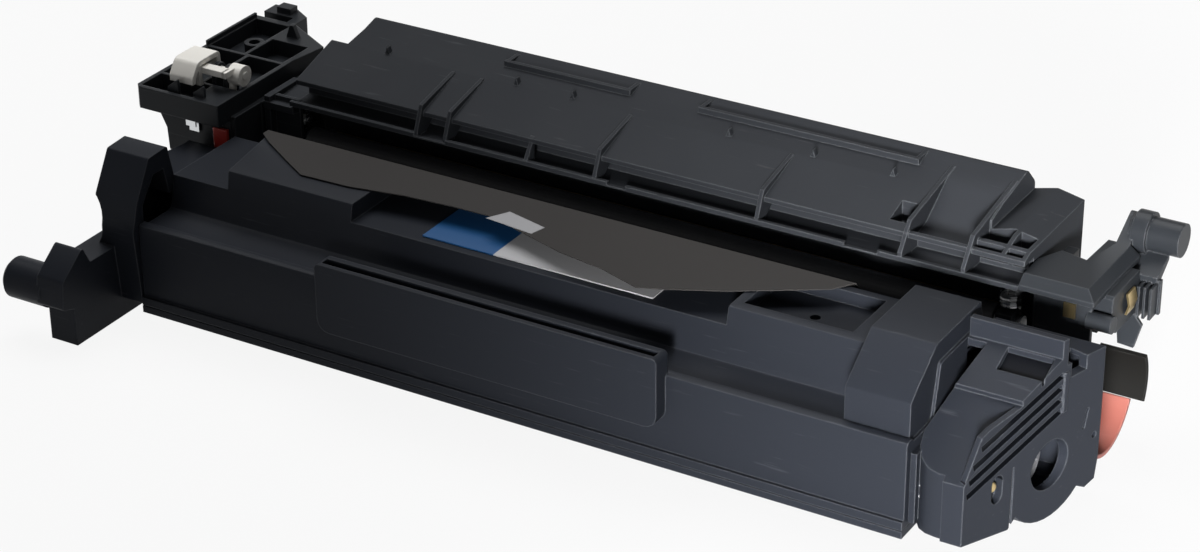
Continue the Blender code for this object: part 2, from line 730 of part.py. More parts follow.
def mesh_turn(teeth, other_teeth, centre, other_centre, other_turn):
    """The turn that puts a gear's gap on the tooth of its neighbour."""
    way = math.atan2(other_centre[1] - centre[1], other_centre[0] - centre[0])
    back = way + math.pi
    phase = ((back - other_turn) * other_teeth / (2 * math.pi)) % 1
    return way + (phase + 0.5) * 2 * math.pi / teeth


COUPLING_TURN = 0.0
SLEEVE_TURN = mesh_turn(SLEEVE_TEETH, COUPLING_TEETH, SLEEVE, COUPLING, COUPLING_TURN)
AGITATOR_TURN = mesh_turn(AGITATOR_TEETH, COUPLING_TEETH, AGITATOR, COUPLING, COUPLING_TURN)


def make_drive_coupling():
    gear = prism("drive_coupling", gear_outline(COUPLING_TEETH, COUPLING, COUPLING_TURN), GEAR_LEFT, GEAR_RIGHT)
    hub = turned("hub", [
        (HOPPER_RIGHT - WALL - 0.002, 0),
        (HOPPER_RIGHT - WALL - 0.002, COUPLING_SHAFT_RADIUS),
        (GEAR_LEFT - 0.0012, COUPLING_SHAFT_RADIUS),
        (GEAR_LEFT - 0.0012, COUPLING_SHAFT_RADIUS + 0.003),
        (GEAR_RIGHT + 0.001, COUPLING_SHAFT_RADIUS + 0.003),
        (GEAR_RIGHT + 0.001, COUPLING_HUB_RADIUS),
        (HOPPER_RIGHT + COUPLING_REACH, COUPLING_HUB_RADIUS),
        (HOPPER_RIGHT + COUPLING_REACH, 0),
    ], COUPLING)
    socket = rod(
        "socket", COUPLING_HUB_RADIUS - 0.0018, HOPPER_RIGHT + COUPLING_REACH - 0.007,
        HOPPER_RIGHT + COUPLING_REACH + 0.001, COUPLING, sides=3,
    )
    gear = cut(join(gear, hub), socket)
    return finish(gear, plain_material("grey_gear", (0.30, 0.30, 0.31), 0.45), (GEAR_LEFT, *COUPLING))


def make_shaft_gear(name, teeth, centre, turn, bore):
    gear = prism(name, gear_outline(teeth, centre, turn), GEAR_LEFT, GEAR_RIGHT)
    hub = rod("hub", bore + 0.0025, GEAR_LEFT - 0.0008, GEAR_RIGHT + 0.0015, centre)
    hole = rod("hole", bore + GAP, GEAR_LEFT - 0.01, GEAR_RIGHT + 0.01, centre)
    return finish(cut(join(gear, hub), hole), plain_material(name + "_plastic", (0.55, 0.55, 0.53), 0.45), (GEAR_LEFT, *centre))


def make_agitator():
    left = HOPPER_LEFT + WALL + 0.002
    right = HOPPER_RIGHT - WALL - 0.002
    shaft = rod("agitator", AGITATOR_SHAFT_RADIUS, HOPPER_LEFT - 0.002, GEAR_RIGHT + 0.003, AGITATOR, sides=20)
    paddle = box(
        "paddle",
        (left, AGITATOR_Y - 0.0006, AGITATOR_Z),
        (right, AGITATOR_Y + 0.0006, AGITATOR_Z + AGITATOR_RADIUS),
    )
    count = 6
    pitch = (right - left) / count
    windows = []
    for index in range(count):
        start = left + pitch * index + 0.004
        windows.append(box(
            "window",
            (start, AGITATOR_Y - 0.002, AGITATOR_Z + AGITATOR_SHAFT_RADIUS + 0.001),
            (start + pitch - 0.008, AGITATOR_Y + 0.002, AGITATOR_Z + AGITATOR_RADIUS - 0.002),
        ))
    agitator = cut(join(shaft, paddle), *windows)
    return finish(agitator, plain_material("agitator_plastic", (0.75, 0.74, 0.70), 0.5), (0, *AGITATOR))


def make_developer_sleeve():
    shaft_end = GEAR_RIGHT + 0.003
    bore = SLEEVE_RADIUS - SLEEVE_WALL
    journal_bore = MAGNET_SHAFT_RADIUS + GAP
    sleeve = turned("developer_sleeve", [
        (SLEEVE_RIGHT - WALL, 0),
        (SLEEVE_RIGHT - WALL, bore),
        (SLEEVE_LEFT + SLEEVE_WALL, bore),
        (SLEEVE_LEFT + SLEEVE_WALL, journal_bore),
        (HOPPER_LEFT + GAP, journal_bore),
        (HOPPER_LEFT + GAP, SLEEVE_SHAFT_RADIUS),
        (SLEEVE_LEFT, SLEEVE_SHAFT_RADIUS),
        (SLEEVE_LEFT, SLEEVE_RADIUS),
        (SLEEVE_RIGHT, SLEEVE_RADIUS),
        (SLEEVE_RIGHT, SLEEVE_SHAFT_RADIUS),
        (shaft_end, SLEEVE_SHAFT_RADIUS),
        (shaft_end, 0),
    ], SLEEVE)
    return finish(sleeve, plain_material("sleeve_coating", (0.18, 0.18, 0.19), 0.5, 0.6), (0, *SLEEVE))


def make_magnet_core():
    core = turned("magnet_core", [
        (END_COVER_LEFT + 0.0045, 0),
        (END_COVER_LEFT + 0.0045, MAGNET_SHAFT_RADIUS),
        (SLEEVE_LEFT + 0.002, MAGNET_SHAFT_RADIUS),
        (SLEEVE_LEFT + 0.002, MAGNET_RADIUS),
        (SLEEVE_RIGHT - WALL - 0.001, MAGNET_RADIUS),
        (SLEEVE_RIGHT - WALL - 0.001, 0),
    ], SLEEVE, steps=24)
    return finish(core, METAL)


def make_sleeve_bushes():
    """The rings that carry the sleeve's two journals in the hopper's end walls."""
    for side, outer_x, way in (("left", HOPPER_LEFT, 1), ("right", HOPPER_RIGHT, -1)):
        ends = sorted((outer_x, outer_x + way * (WALL + 0.001)))
        bush = rod("sleeve_bush_" + side, BUSH_RADIUS, *ends, SLEEVE, sides=24)
        bore = rod("bore", SLEEVE_SHAFT_RADIUS + RUNNING_GAP, ends[0] - 0.01, ends[1] + 0.01, SLEEVE, sides=24)
        finish(cut(bush, bore), YELLOW_METAL)


def make_fill_plug():
    plug = turned("fill_plug", [
        (HOPPER_LEFT - 0.0022, 0),
        (HOPPER_LEFT - 0.0022, PLUG_RADIUS + 0.0012),
        (HOPPER_LEFT - GAP, PLUG_RADIUS + 0.0018),
        (HOPPER_LEFT - GAP, PLUG_RADIUS),
        (HOPPER_LEFT + WALL + 0.0015, PLUG_RADIUS - 0.0006),
        (HOPPER_LEFT + WALL + 0.0015, PLUG_RADIUS - 0.0018),
        (HOPPER_LEFT - 0.0005, PLUG_RADIUS - 0.0018),
        (HOPPER_LEFT - 0.0005, 0),
    ], (PLUG_Y, PLUG_Z), steps=24)
    finish(plug, plain_material("plug_plastic", (0.30, 0.31, 0.32), 0.5))


def make_metering_blade():
    left = SLEEVE_LEFT + 0.006
    right = SLEEVE_RIGHT - 0.003
    top = LEDGE_Z - GAP
    holder = prism("blade_holder", [
        (LEDGE_FRONT_Y + 0.0002, top),
        (HOPPER_BACK_Y - 0.0005, top),
        (HOPPER_BACK_Y - 0.0005, top - BLADE_THICKNESS),
        (LEDGE_FRONT_Y + 0.0002 + BLADE_THICKNESS, top - BLADE_THICKNESS),
        (LEDGE_FRONT_Y + 0.0002 + BLADE_THICKNESS, top - 0.004),
        (LEDGE_FRONT_Y + 0.0002, top - 0.004),
    ], left, right)
    strip_top = top - BLADE_THICKNESS - GAP
    touch = (SLEEVE_Y - (SLEEVE_RADIUS + NIP_GAP) * math.sin(math.radians(25)),
             SLEEVE_Z + (SLEEVE_RADIUS + NIP_GAP) * math.cos(math.radians(25)))
    strip = prism("metering_blade", [
        (touch[0] - 0.0030, strip_top),
        (touch[0] + 0.0004, strip_top),
        (touch[0] + 0.0004, touch[1]),
        (touch[0] - 0.0006, touch[1] + 0.0002),
        (touch[0] - 0.0030, touch[1] + 0.0020),
    ], left, right)
    finish(holder, METAL)
    finish(strip, plain_material("blade_rubber", (0.25, 0.17, 0.10), 0.5))


# Drum unit

def make_drum():
    inner = DRUM_RADIUS - DRUM_TUBE_WALL
    drum = turned("photosensitive_drum", [
        (DRUM_LEFT, inner),
        (DRUM_LEFT, DRUM_RADIUS),
        (DRUM_RIGHT, DRUM_RADIUS),
        (DRUM_RIGHT, inner),
        (DRUM_LEFT, inner),
    ], DRUM, steps=48)
    finish(drum, plain_material("drum_coating", (0.04, 0.16, 0.20), 0.12, 0.3), (0, *DRUM))
    plug = inner - GAP
    end = turned("drum_end_flange", [
        (DRUM_LEFT - DRUM_FLANGE_WIDTH, DRUM_SHAFT_RADIUS - 0.001 + RUNNING_GAP),
        (DRUM_LEFT - DRUM_FLANGE_WIDTH, DRUM_RADIUS - 0.002),
        (DRUM_LEFT - GAP, DRUM_RADIUS - 0.002),
        (DRUM_LEFT - GAP, plug),
        (DRUM_LEFT + 0.008, plug),
        (DRUM_LEFT + 0.008, DRUM_SHAFT_RADIUS - 0.001 + RUNNING_GAP),
        (DRUM_LEFT - DRUM_FLANGE_WIDTH, DRUM_SHAFT_RADIUS - 0.001 + RUNNING_GAP),
    ], DRUM)
    finish(end, DARK, (0, *DRUM))
    reach = RIGHT_BRACKET_RIGHT + 0.002
    drive = turned("drum_drive_flange", [
        (DRUM_RIGHT - 0.008, 0),
        (DRUM_RIGHT - 0.008, plug),
        (DRUM_RIGHT + GAP, plug),
        (DRUM_RIGHT + GAP, DRUM_RADIUS - 0.002),
        (DRUM_RIGHT + DRUM_FLANGE_WIDTH, DRUM_RADIUS - 0.002),
        (DRUM_RIGHT + DRUM_FLANGE_WIDTH, DRUM_SHAFT_RADIUS),
        (reach - 0.001, DRUM_SHAFT_RADIUS),
        (reach, DRUM_SHAFT_RADIUS - 0.001),
        (reach, 0),
    ], DRUM)
    finish(drive, DARK, (0, *DRUM))


def make_drum_pin():
    pin = turned("drum_pin", [
        (LEFT_BRACKET_RIGHT - FRAME_THICKNESS - 0.002, 0),
        (LEFT_BRACKET_RIGHT - FRAME_THICKNESS - 0.002, 0.0045),
        (LEFT_BRACKET_RIGHT - FRAME_THICKNESS - GAP, 0.0045),
        (LEFT_BRACKET_RIGHT - FRAME_THICKNESS - GAP, DRUM_SHAFT_RADIUS - 0.001),
        (DRUM_LEFT + 0.006, DRUM_SHAFT_RADIUS - 0.001),
        (DRUM_LEFT + 0.006, 0),
    ], DRUM, steps=24)
    finish(pin, METAL)


def make_charge_roller():
    left = DRUM_CENTRE_X - CHARGE_LENGTH / 2
    right = DRUM_CENTRE_X + CHARGE_LENGTH / 2
    bore = CHARGE_SHAFT_RADIUS + GAP
    roller = turned("charge_roller", [
        (left, bore),
        (left, CHARGE_RADIUS),
        (right, CHARGE_RADIUS),
        (right, bore),
        (left, bore),
    ], CHARGE)
    finish(roller, plain_material("charge_rubber", (0.03, 0.03, 0.03), 0.55), (0, *CHARGE))
    shaft = rod("charge_shaft", CHARGE_SHAFT_RADIUS, left - 0.008, right + 0.008, CHARGE, sides=24)
    finish(shaft, METAL, (0, *CHARGE))
    for side, edge in (("left", left - 0.0065), ("right", right + 0.0015)):
        half = CHARGE_BLOCK_SIZE / 2
        block = box(
            "charge_bearing_" + side,
            (edge, CHARGE_Y - half, CHARGE_Z - CHARGE_SHAFT_RADIUS - 0.0012),
            (edge + 0.005, CHARGE_Y + half, CHARGE_Z + half),
        )
        bore_cut = rod("bore", CHARGE_SHAFT_RADIUS + RUNNING_GAP, edge - 0.01, edge + 0.015, CHARGE, sides=24)
        finish(cut(block, bore_cut), DARK)
        make_charge_spring(side, edge + 0.0025)


def make_charge_spring(side, x):
    """A compression spring between a charge roller's bearing and the waste box."""
    steps = 10
    low = CHARGE_Z + CHARGE_BLOCK_SIZE / 2 + GAP + SPRING_WIRE
    high = plate_underside(CHARGE_Y + SPRING_RADIUS + SPRING_WIRE) - GAP - SPRING_WIRE
    curve = bpy.data.curves.new("charge_spring_" + side, "CURVE")
    curve.dimensions = "3D"
    curve.bevel_depth = SPRING_WIRE
    curve.bevel_resolution = 1
    curve.use_fill_caps = True
    spline = curve.splines.new("POLY")
    spline.points.add(SPRING_TURNS * steps)
    for index, point in enumerate(spline.points):
        angle = 2 * math.pi * index / steps
        share = index / (SPRING_TURNS * steps)
        place = (x + SPRING_RADIUS * math.cos(angle), CHARGE_Y + SPRING_RADIUS * math.sin(angle))
        point.co = (*place, low + (high - low) * share, 1)
    spring = link(bpy.data.objects.new("spring_curve", curve))
    return finish(settled(spring, "charge_spring_" + side), METAL)


def tank_outline():
    room = SHIELD_RADIUS + 0.0004
    return rounded([
        (LIP_Y, LIP_Z),
        (LIP_Y, LIP_Z + LIP_HEIGHT),
        (LIP_Y + LIP_THICKNESS, LIP_Z + LIP_HEIGHT),
        (LIP_Y + LIP_THICKNESS, LIP_Z + 0.0002),
        (PLATE_BACK_Y, PLATE_BACK_Z),
        (PLATE_BACK_Y + 0.001, PLATE_BACK_Z + 0.002),
        (TANK_REAR_Y - 0.006, TANK_TOP_Z, 0.002),
        (TANK_REAR_Y, TANK_TOP_Z - 0.006, 0.003),
        (TANK_REAR_Y, 0.022),
        (TANK_REAR_Y - 0.006, 0.013),
        (DRUM_Y + room + 0.003, 0.0125),
        *arc(DRUM, room, -10, 38, 6),
        (0.0430, 0.0376),
        UNDERSIDE_BACK,
        UNDERSIDE_FRONT,
    ])


def tank_room():
    return [
        (0.0475, 0.026),
        (0.053, 0.0165),
        (0.0575, 0.0165),
        (0.062, 0.023),
        (0.062, 0.0585),
        (0.052, 0.0595),
        (0.038, 0.0555),
        (0.038, 0.0445),
        (0.043, 0.038),
    ]


def plate_underside(y):
    """The height of the waste box's underside above the charge roller."""
    share = (y - UNDERSIDE_FRONT[0]) / (UNDERSIDE_BACK[0] - UNDERSIDE_FRONT[0])
    return UNDERSIDE_FRONT[1] + (UNDERSIDE_BACK[1] - UNDERSIDE_FRONT[1]) * share


def plate_z(y):
    """The height of the waste box's sloping plate."""
    front = LIP_Y + LIP_THICKNESS
    return LIP_Z + (PLATE_BACK_Z - LIP_Z) * (y - front) / (PLATE_BACK_Y - front)


def fin(name, x, length, height, thickness=RIB):
    """A rib behind the lip that runs out where the plate has risen to its top."""
    top = LIP_Z + LIP_HEIGHT + height
    return prism(name, [
        (LIP_Y + 0.0004, LIP_Z + 0.0003),
        (LIP_Y + 0.0004, top),
        (LIP_Y + length, top + 0.0006),
        (LIP_Y + length + 0.001, plate_z(LIP_Y + length + 0.001) - 0.0006),
        (LIP_Y + 0.004, LIP_Z),
    ], x - thickness / 2, x + thickness / 2)


def bay_wall(name, x):
    return prism(name, [
        (LIP_Y + 0.0002, LIP_Z - 0.003),
        (LIP_Y + 0.0002, BAY_TOP_Z),
        (PLATE_BACK_Y, BAY_TOP_Z + 0.0025),
        (PLATE_BACK_Y + 0.003, PLATE_BACK_Z),
        (PLATE_BACK_Y + 0.003, LIP_Z),
    ], x - RIB / 2, x + RIB / 2)


def bay_cutter(low, high):
    return prism("bay", [
        (LIP_Y + LIP_THICKNESS + 0.0012, LIP_Z + 0.006),
        (LIP_Y + LIP_THICKNESS + 0.0012, LIP_Z - BAY_DROP + 0.003),
        (PLATE_BACK_Y - 0.003, LIP_Z - BAY_DROP + 0.007),
        (PLATE_BACK_Y - 0.001, PLATE_BACK_Z + 0.004),
        (LIP_Y + 0.008, LIP_Z + 0.012),
    ], low, high)


def make_waste_housing():
    tank = prism("waste_housing", tank_outline(), TANK_LEFT, TANK_RIGHT)
    room = prism("waste_room", tank_room(), TANK_LEFT + TANK_WALL, TANK_RIGHT - TANK_WALL)
    mouth = prism("waste_mouth", [
        (0.0405, 0.0265),
        (0.0405, 0.0215),
        (0.056, 0.0225),
        (0.056, 0.0275),
    ], TANK_LEFT + 0.012, TANK_RIGHT - 0.012)
    bays = [
        bay_cutter(BAY_LEFT + RIB / 2, BAY_WALL_X),
        bay_cutter(BAY_WALL_X, TANK_RIGHT - 0.002),
    ]
    tank = cut(tank, room, mouth, *bays)
    fins = [fin("fin", x, 0.019, 0.0) for x in (-0.0695, 0.0005 - 0.009, 0.0545 - 0.003)]
    fins += [fin("divider", x, 0.004, -0.0004) for x in (-0.0315, 0.0465)]
    walls = [bay_wall("bay_wall", BAY_LEFT), bay_wall("bay_wall", BAY_WALL_X)]
    return finish(join(tank, *fins, *walls), PLASTIC)


def make_cleaning_blade():
    left = DRUM_LEFT + 0.006
    right = DRUM_RIGHT - 0.006
    angle = math.radians(52)
    touch = Vector((DRUM_Y + (DRUM_RADIUS + NIP_GAP) * math.cos(angle), DRUM_Z + (DRUM_RADIUS + NIP_GAP) * math.sin(angle)))
    way = Vector((0.35, 0.94)).normalized()
    across = Vector((way.y, -way.x))
    strip_end = touch + way * 0.0075
    strip = [touch, strip_end, strip_end + across * STRIP_THICKNESS, touch + across * STRIP_THICKNESS]
    blade = prism("cleaning_blade", [tuple(point) for point in strip], left, right)
    finish(blade, plain_material("blade_urethane", (0.55, 0.42, 0.22), 0.4))
    root = strip_end + way * GAP - across * 0.0002
    holder = prism("blade_bracket", [
        tuple(root),
        tuple(root + way * 0.0030),
        tuple(root + way * 0.0030 + across * (STRIP_THICKNESS + 0.0012)),
        tuple(root + across * (STRIP_THICKNESS + 0.0012)),
    ], left, right)
    finish(holder, METAL)


def frame_lobe(name, low, high, front_y, top_z):
    """A side plate that hangs from a bracket and carries the drum's end."""
    return prism(name, [
        (front_y, top_z),
        (front_y, 0.036),
        *arc(DRUM, FRAME_LOBE, 150, 330, 12),
        (0.0455, 0.026),
        (0.047, top_z),
    ], low, high)


def make_left_bracket():
    left, right = LEFT_BRACKET_LEFT, LEFT_BRACKET_RIGHT
    front, rear = LEFT_BRACKET_FRONT_Y, LEFT_BRACKET_REAR_Y
    tray = prism("left_bracket", [
        (left, front + 0.0015),
        (left + 0.0015, front),
        (right, front),
        (right, rear),
        (right - 0.008, rear + 0.0045),
        (left + 0.0155, rear + 0.0105),
        (left + 0.0155, BRACKET_TAIL_Y - 0.004),
        (left + 0.009, BRACKET_TAIL_Y),
        (left, BRACKET_TAIL_Y),
    ], BRACKET_BOTTOM_Z, BRACKET_TOP_Z, "Z")
    floor = BRACKET_BOTTOM_Z + BRACKET_FLOOR
    pockets = []
    for low_x, low_y, high_x, high_y in (
        (left + BRACKET_WALL, front + 0.012, left + 0.014, front + 0.032),
        (left + 0.0155, front + 0.012, right - BRACKET_WALL, front + 0.032),
        (left + BRACKET_WALL, front + 0.0335, left + 0.014, rear + 0.008),
        (left + 0.0155, front + 0.0335, right - BRACKET_WALL, rear - 0.002),
        (left + 0.003, front + 0.003, left + 0.016, front + 0.0105),
    ):
        pockets.append(box("pocket", (low_x, low_y, floor), (high_x, high_y, BRACKET_TOP_Z + 0.001)))
    tray = cut(tray, *pockets)
    skirt = box(
        "skirt",
        (left + 0.012, SKIRT_Y, SKIRT_BOTTOM_Z),
        (right - 0.0003, SKIRT_Y + 0.002, BRACKET_BOTTOM_Z + 0.001),
    )
    tongue = box(
        "tongue",
        (right - 0.001, PLATE_BACK_Y - 0.009, BRACKET_BOTTOM_Z - 0.006),
        (TANK_LEFT - GAP, PLATE_BACK_Y - 0.001, BRACKET_TOP_Z - 0.0015),
    )
    lugs = []
    for x in (LEVER_LEFT + LEVER_PADDLE_WIDTH + GAP, LEVER_RIGHT - LUG_THICKNESS - 0.001):
        lugs.append(prism("lug", [
            (LEVER_Y - 0.0035, floor - 0.001),
            (LEVER_Y + 0.0035, floor - 0.001),
            *arc((LEVER_Y, LEVER_Z), LEVER_PIN_RADIUS + 0.0013, 0, 180, 6),
        ], x, x + LUG_THICKNESS))
    lug_hole = rod("lug_hole", LEVER_PIN_RADIUS + RUNNING_GAP, LEVER_LEFT, LEVER_RIGHT + 0.001, (LEVER_Y, LEVER_Z), sides=16)
    plate = frame_lobe("lobe", right - FRAME_THICKNESS, right - 0.0002, 0.0185, BRACKET_BOTTOM_Z + 0.001)
    hole = rod("hole", DRUM_SHAFT_RADIUS - 0.001 + GAP, right - 0.01, right + 0.01, DRUM)
    bracket = join(tray, plate, skirt, tongue, *lugs)
    return finish(cut(bracket, hole, lug_hole), DARK)


def make_white_lever():
    """A rocker on a pin between the left bracket's lugs."""
    pin = rod("white_lever", LEVER_PIN_RADIUS, LEVER_LEFT + 0.001, LEVER_RIGHT, (LEVER_Y, LEVER_Z), sides=16)
    paddle = prism("paddle", rounded([
        (LEVER_Y - LEVER_HALF_LENGTH, LEVER_Z + 0.0022),
        (LEVER_Y - 0.004, LEVER_Z + 0.0020),
        (LEVER_Y - 0.0022, LEVER_Z - 0.0018, 0.001),
        (LEVER_Y + 0.0022, LEVER_Z - 0.0018, 0.001),
        (LEVER_Y + 0.004, LEVER_Z + 0.0020),
        (LEVER_Y + LEVER_HALF_LENGTH, LEVER_Z + 0.0022),
        (LEVER_Y + LEVER_HALF_LENGTH, LEVER_Z + 0.0022 + LEVER_THICKNESS, 0.0005),
        (LEVER_Y - LEVER_HALF_LENGTH, LEVER_Z + 0.0022 + LEVER_THICKNESS, 0.0005),
    ], steps=3), LEVER_LEFT, LEVER_LEFT + LEVER_PADDLE_WIDTH)
    knuckle_left = LEVER_LEFT + LEVER_PADDLE_WIDTH + LUG_THICKNESS + 2 * GAP
    knuckle = rod(
        "knuckle", LEVER_PIN_RADIUS + 0.001, knuckle_left,
        LEVER_RIGHT - LUG_THICKNESS - 0.001 - GAP, (LEVER_Y, LEVER_Z), sides=16,
    )
    lever = join(pin, paddle, knuckle)
    return finish(lever, plain_material("white_plastic", (0.82, 0.80, 0.76), 0.4), (LEVER_LEFT, LEVER_Y, LEVER_Z))


def make_left_contacts():
    face = SKIRT_Y - GAP
    tab = box("red_tab", (-0.1365, face - 0.0012, 0.0365), (-0.1312, face, 0.0435))
    finish(tab, plain_material("red_plastic", (0.62, 0.06, 0.05), 0.4))
    contact = prism("drum_contact", [
        (face, 0.0462 - 0.006),
        (face, 0.0462),
        (face - 0.0006, 0.0462),
        (face - 0.0022, 0.0447),
        (face - 0.0022, 0.0425),
        (face - 0.0016, 0.0425),
        (face - 0.0016, 0.0443),
        (face - 0.0006, 0.0453),
        (face - 0.0006, 0.0462 - 0.006),
    ], -0.1462, -0.1425)
    finish(contact, METAL)


def make_right_bracket():
    left, right = RIGHT_FRAME_X, RIGHT_BRACKET_RIGHT
    front, rear = RIGHT_BRACKET_FRONT_Y, RIGHT_BRACKET_REAR_Y
    plate = box("right_bracket", (left, front, BRACKET_TOP_Z - 0.002), (right, rear, BRACKET_TOP_Z))
    brow = box("brow", (left, front, BRACKET_BOTTOM_Z), (right, front + 0.002, BRACKET_TOP_Z - 0.001))
    side = frame_lobe("side", left, left + FRAME_THICKNESS, 0.0225, BRACKET_TOP_Z - 0.001)
    arm = prism("arm", rounded([
        (0.0235, BRACKET_TOP_Z - 0.001),
        (0.0235, 0.040),
        (0.034, 0.036),
        (0.046, 0.036),
        (0.058, 0.045),
        (BOSS_Y + 0.006, BOSS_Z - 0.004, 0.003),
        (BOSS_Y + 0.005, BOSS_Z + 0.0075, 0.004),
        (BOSS_Y - 0.004, BOSS_Z + 0.0075, 0.003),
        (0.047, BRACKET_TOP_Z - 0.0005),
    ]), right - 0.004, right)
    boss = rod("boss", BOSS_RADIUS, right - 0.002, BOSS_END_X, (BOSS_Y, BOSS_Z))
    tower = prism("tower", [
        (0.0205, 0.0495),
        (0.0205, 0.0415),
        (0.026, 0.0375),
        (0.0445, 0.0375),
        (0.048, 0.043),
        (0.044, 0.0505),
    ], right - 0.001, TOWER_RIGHT)
    pad = box("pad", (TANK_RIGHT + GAP, 0.0405, 0.0385), (left + 0.001, 0.0465, BRACKET_TOP_Z - 0.003))
    bracket = join(plate, brow, side, arm, boss, tower, pad)
    hole = rod("hole", DRUM_SHAFT_RADIUS + RUNNING_GAP, left - 0.01, right + 0.01, DRUM)
    return finish(cut(bracket, hole), DARK)


def make_right_contacts():
    outer = prism("charge_contact", [
        (TOWER_RIGHT + GAP, 0.0415),
        (TOWER_RIGHT + GAP + 0.0006, 0.0415),
        (TOWER_RIGHT + GAP + 0.0014, 0.0445),
        (TOWER_RIGHT + GAP + 0.0006, 0.0480),
        (TOWER_RIGHT + GAP, 0.0480),
        (TOWER_RIGHT + GAP + 0.0008, 0.0445),
    ], 0.0365, 0.0412, "Y")
    finish(outer, YELLOW_METAL)
    inner = box("sleeve_contact", (0.1425, 0.0225, 0.0428), (0.1465, 0.0235 - GAP, 0.0472))
    finish(inner, YELLOW_METAL)


def make_end_film():
    """The dark film that hangs over the drum's driven end."""
    film = prism("end_film", [
        (0.0255, 0.0155),
        (0.0390, 0.0155),
        (0.0430, 0.0175),
        (0.0470, 0.0240),
        (0.0510, 0.0330),
        (0.0570, 0.0372),
        (0.0255, 0.0372),
    ], FILM_X, FILM_X + FILM_THICKNESS)
    return finish(film, plain_material("black_film", (0.03, 0.03, 0.03), 0.6))


def make_drum_shield():
    outer = arc(DRUM, SHIELD_RADIUS, SHIELD_START, SHIELD_END, 20)
    inner = arc(DRUM, SHIELD_RADIUS - SHIELD_THICKNESS, SHIELD_END, SHIELD_START, 20)
    shield = prism("drum_shield", outer + inner, SHIELD_LEFT, SHIELD_RIGHT)
    return finish(shield, plain_material("orange_plastic", (0.75, 0.12, 0.05), 0.45))


def make_protective_sheet():
    top = BLOCK_TOP_Z + GAP
    thick = SHEET_THICKNESS
    outline = [
        (-0.014, top),
        (BLOCK_REAR_Y + 0.001, top),
        (0.0175, 0.0345),
        (0.0177, 0.0345 + thick),
        (BLOCK_REAR_Y + 0.0012, top + thick),
        (-0.014, top + thick),
    ]
    sheet = prism("protective_sheet", outline, SHEET_LEFT, SHEET_RIGHT)
    return finish(sheet, plain_material("grey_paper", (0.11, 0.10, 0.095), 0.8))


make_hopper_housing()
make_hopper_base()
make_label()
make_left_end_cover()
make_right_end_cap()
make_cap_screw()
make_drive_coupling()
make_shaft_gear("sleeve_gear", SLEEVE_TEETH, SLEEVE, SLEEVE_TURN, SLEEVE_SHAFT_RADIUS)
make_shaft_gear("agitator_gear", AGITATOR_TEETH, AGITATOR, AGITATOR_TURN, AGITATOR_SHAFT_RADIUS)
make_agitator()
make_developer_sleeve()
make_magnet_core()
make_sleeve_bushes()
make_fill_plug()
make_metering_blade()
make_drum()
make_drum_pin()
make_charge_roller()
make_waste_housing()
make_cleaning_blade()
make_left_bracket()
make_white_lever()
make_left_contacts()
make_right_bracket()
make_right_contacts()
make_end_film()
make_drum_shield()
make_protective_sheet()
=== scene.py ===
import math

import bmesh
import bpy
from mathutils import Matrix, Vector


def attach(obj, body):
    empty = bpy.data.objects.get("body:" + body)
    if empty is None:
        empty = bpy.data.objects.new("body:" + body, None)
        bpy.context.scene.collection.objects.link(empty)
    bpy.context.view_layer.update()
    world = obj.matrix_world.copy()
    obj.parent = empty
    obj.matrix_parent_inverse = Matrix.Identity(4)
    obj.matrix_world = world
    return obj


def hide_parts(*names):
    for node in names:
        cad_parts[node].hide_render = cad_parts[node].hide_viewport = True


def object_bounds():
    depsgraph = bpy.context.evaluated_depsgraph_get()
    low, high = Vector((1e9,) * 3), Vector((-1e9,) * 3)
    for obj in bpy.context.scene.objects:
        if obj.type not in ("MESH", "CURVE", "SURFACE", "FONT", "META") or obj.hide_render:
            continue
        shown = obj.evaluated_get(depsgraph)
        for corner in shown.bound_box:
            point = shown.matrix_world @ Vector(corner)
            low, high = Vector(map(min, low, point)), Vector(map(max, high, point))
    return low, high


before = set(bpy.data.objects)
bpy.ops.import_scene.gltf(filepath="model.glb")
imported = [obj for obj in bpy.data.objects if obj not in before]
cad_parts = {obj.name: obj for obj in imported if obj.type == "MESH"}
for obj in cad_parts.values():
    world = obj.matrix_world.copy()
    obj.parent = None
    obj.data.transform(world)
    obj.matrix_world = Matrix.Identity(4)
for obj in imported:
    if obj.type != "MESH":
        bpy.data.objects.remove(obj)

cad_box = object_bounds()

# The studio. The cartridge lies on a white floor in front of a low white backdrop, with a
# soft lamp near its right end and a large one above and behind it. It is seen from its
# front right corner through a long lens.
CAMERA_PLACE = (0.4228, -0.6932, 0.4564)
CAMERA_AZIMUTH = 31
CAMERA_ELEVATION = 27.8
CAMERA_ROLL = -0.5
PHOTO_FOCAL = 3120
PHOTO_WIDTH = 1200
FLOOR_SIZE = 3.0
FLOOR_GAP = 0.0002
FLOOR_GLOW = 0.9
FLOOR_WHITE = (1.0, 1.0, 1.0)
SHADOW_WHITE = (0.50, 0.50, 0.51)
BACKDROP_TOP = 0.28
BACKDROP_FADE = 0.15
ROOM_LIGHT = 0.12


def look_through_long_lens():
    """The camera, turned by its azimuth, its elevation and a slight roll."""
    camera = bpy.data.cameras.new("studio_camera")
    camera.sensor_width = 36
    camera.lens = PHOTO_FOCAL * camera.sensor_width / PHOTO_WIDTH
    camera.clip_start = 0.05
    camera.clip_end = 20
    eye = bpy.data.objects.new("studio_camera", camera)
    around = math.radians(CAMERA_AZIMUTH)
    above = math.radians(CAMERA_ELEVATION)
    turn = Matrix.Rotation(around, 4, "Z") @ Matrix.Rotation(math.pi / 2 - above, 4, "X")
    turn = turn @ Matrix.Rotation(math.radians(CAMERA_ROLL), 4, "Z")
    eye.matrix_world = Matrix.Translation(CAMERA_PLACE) @ turn
    bpy.context.scene.collection.objects.link(eye)
    bpy.context.scene.camera = eye


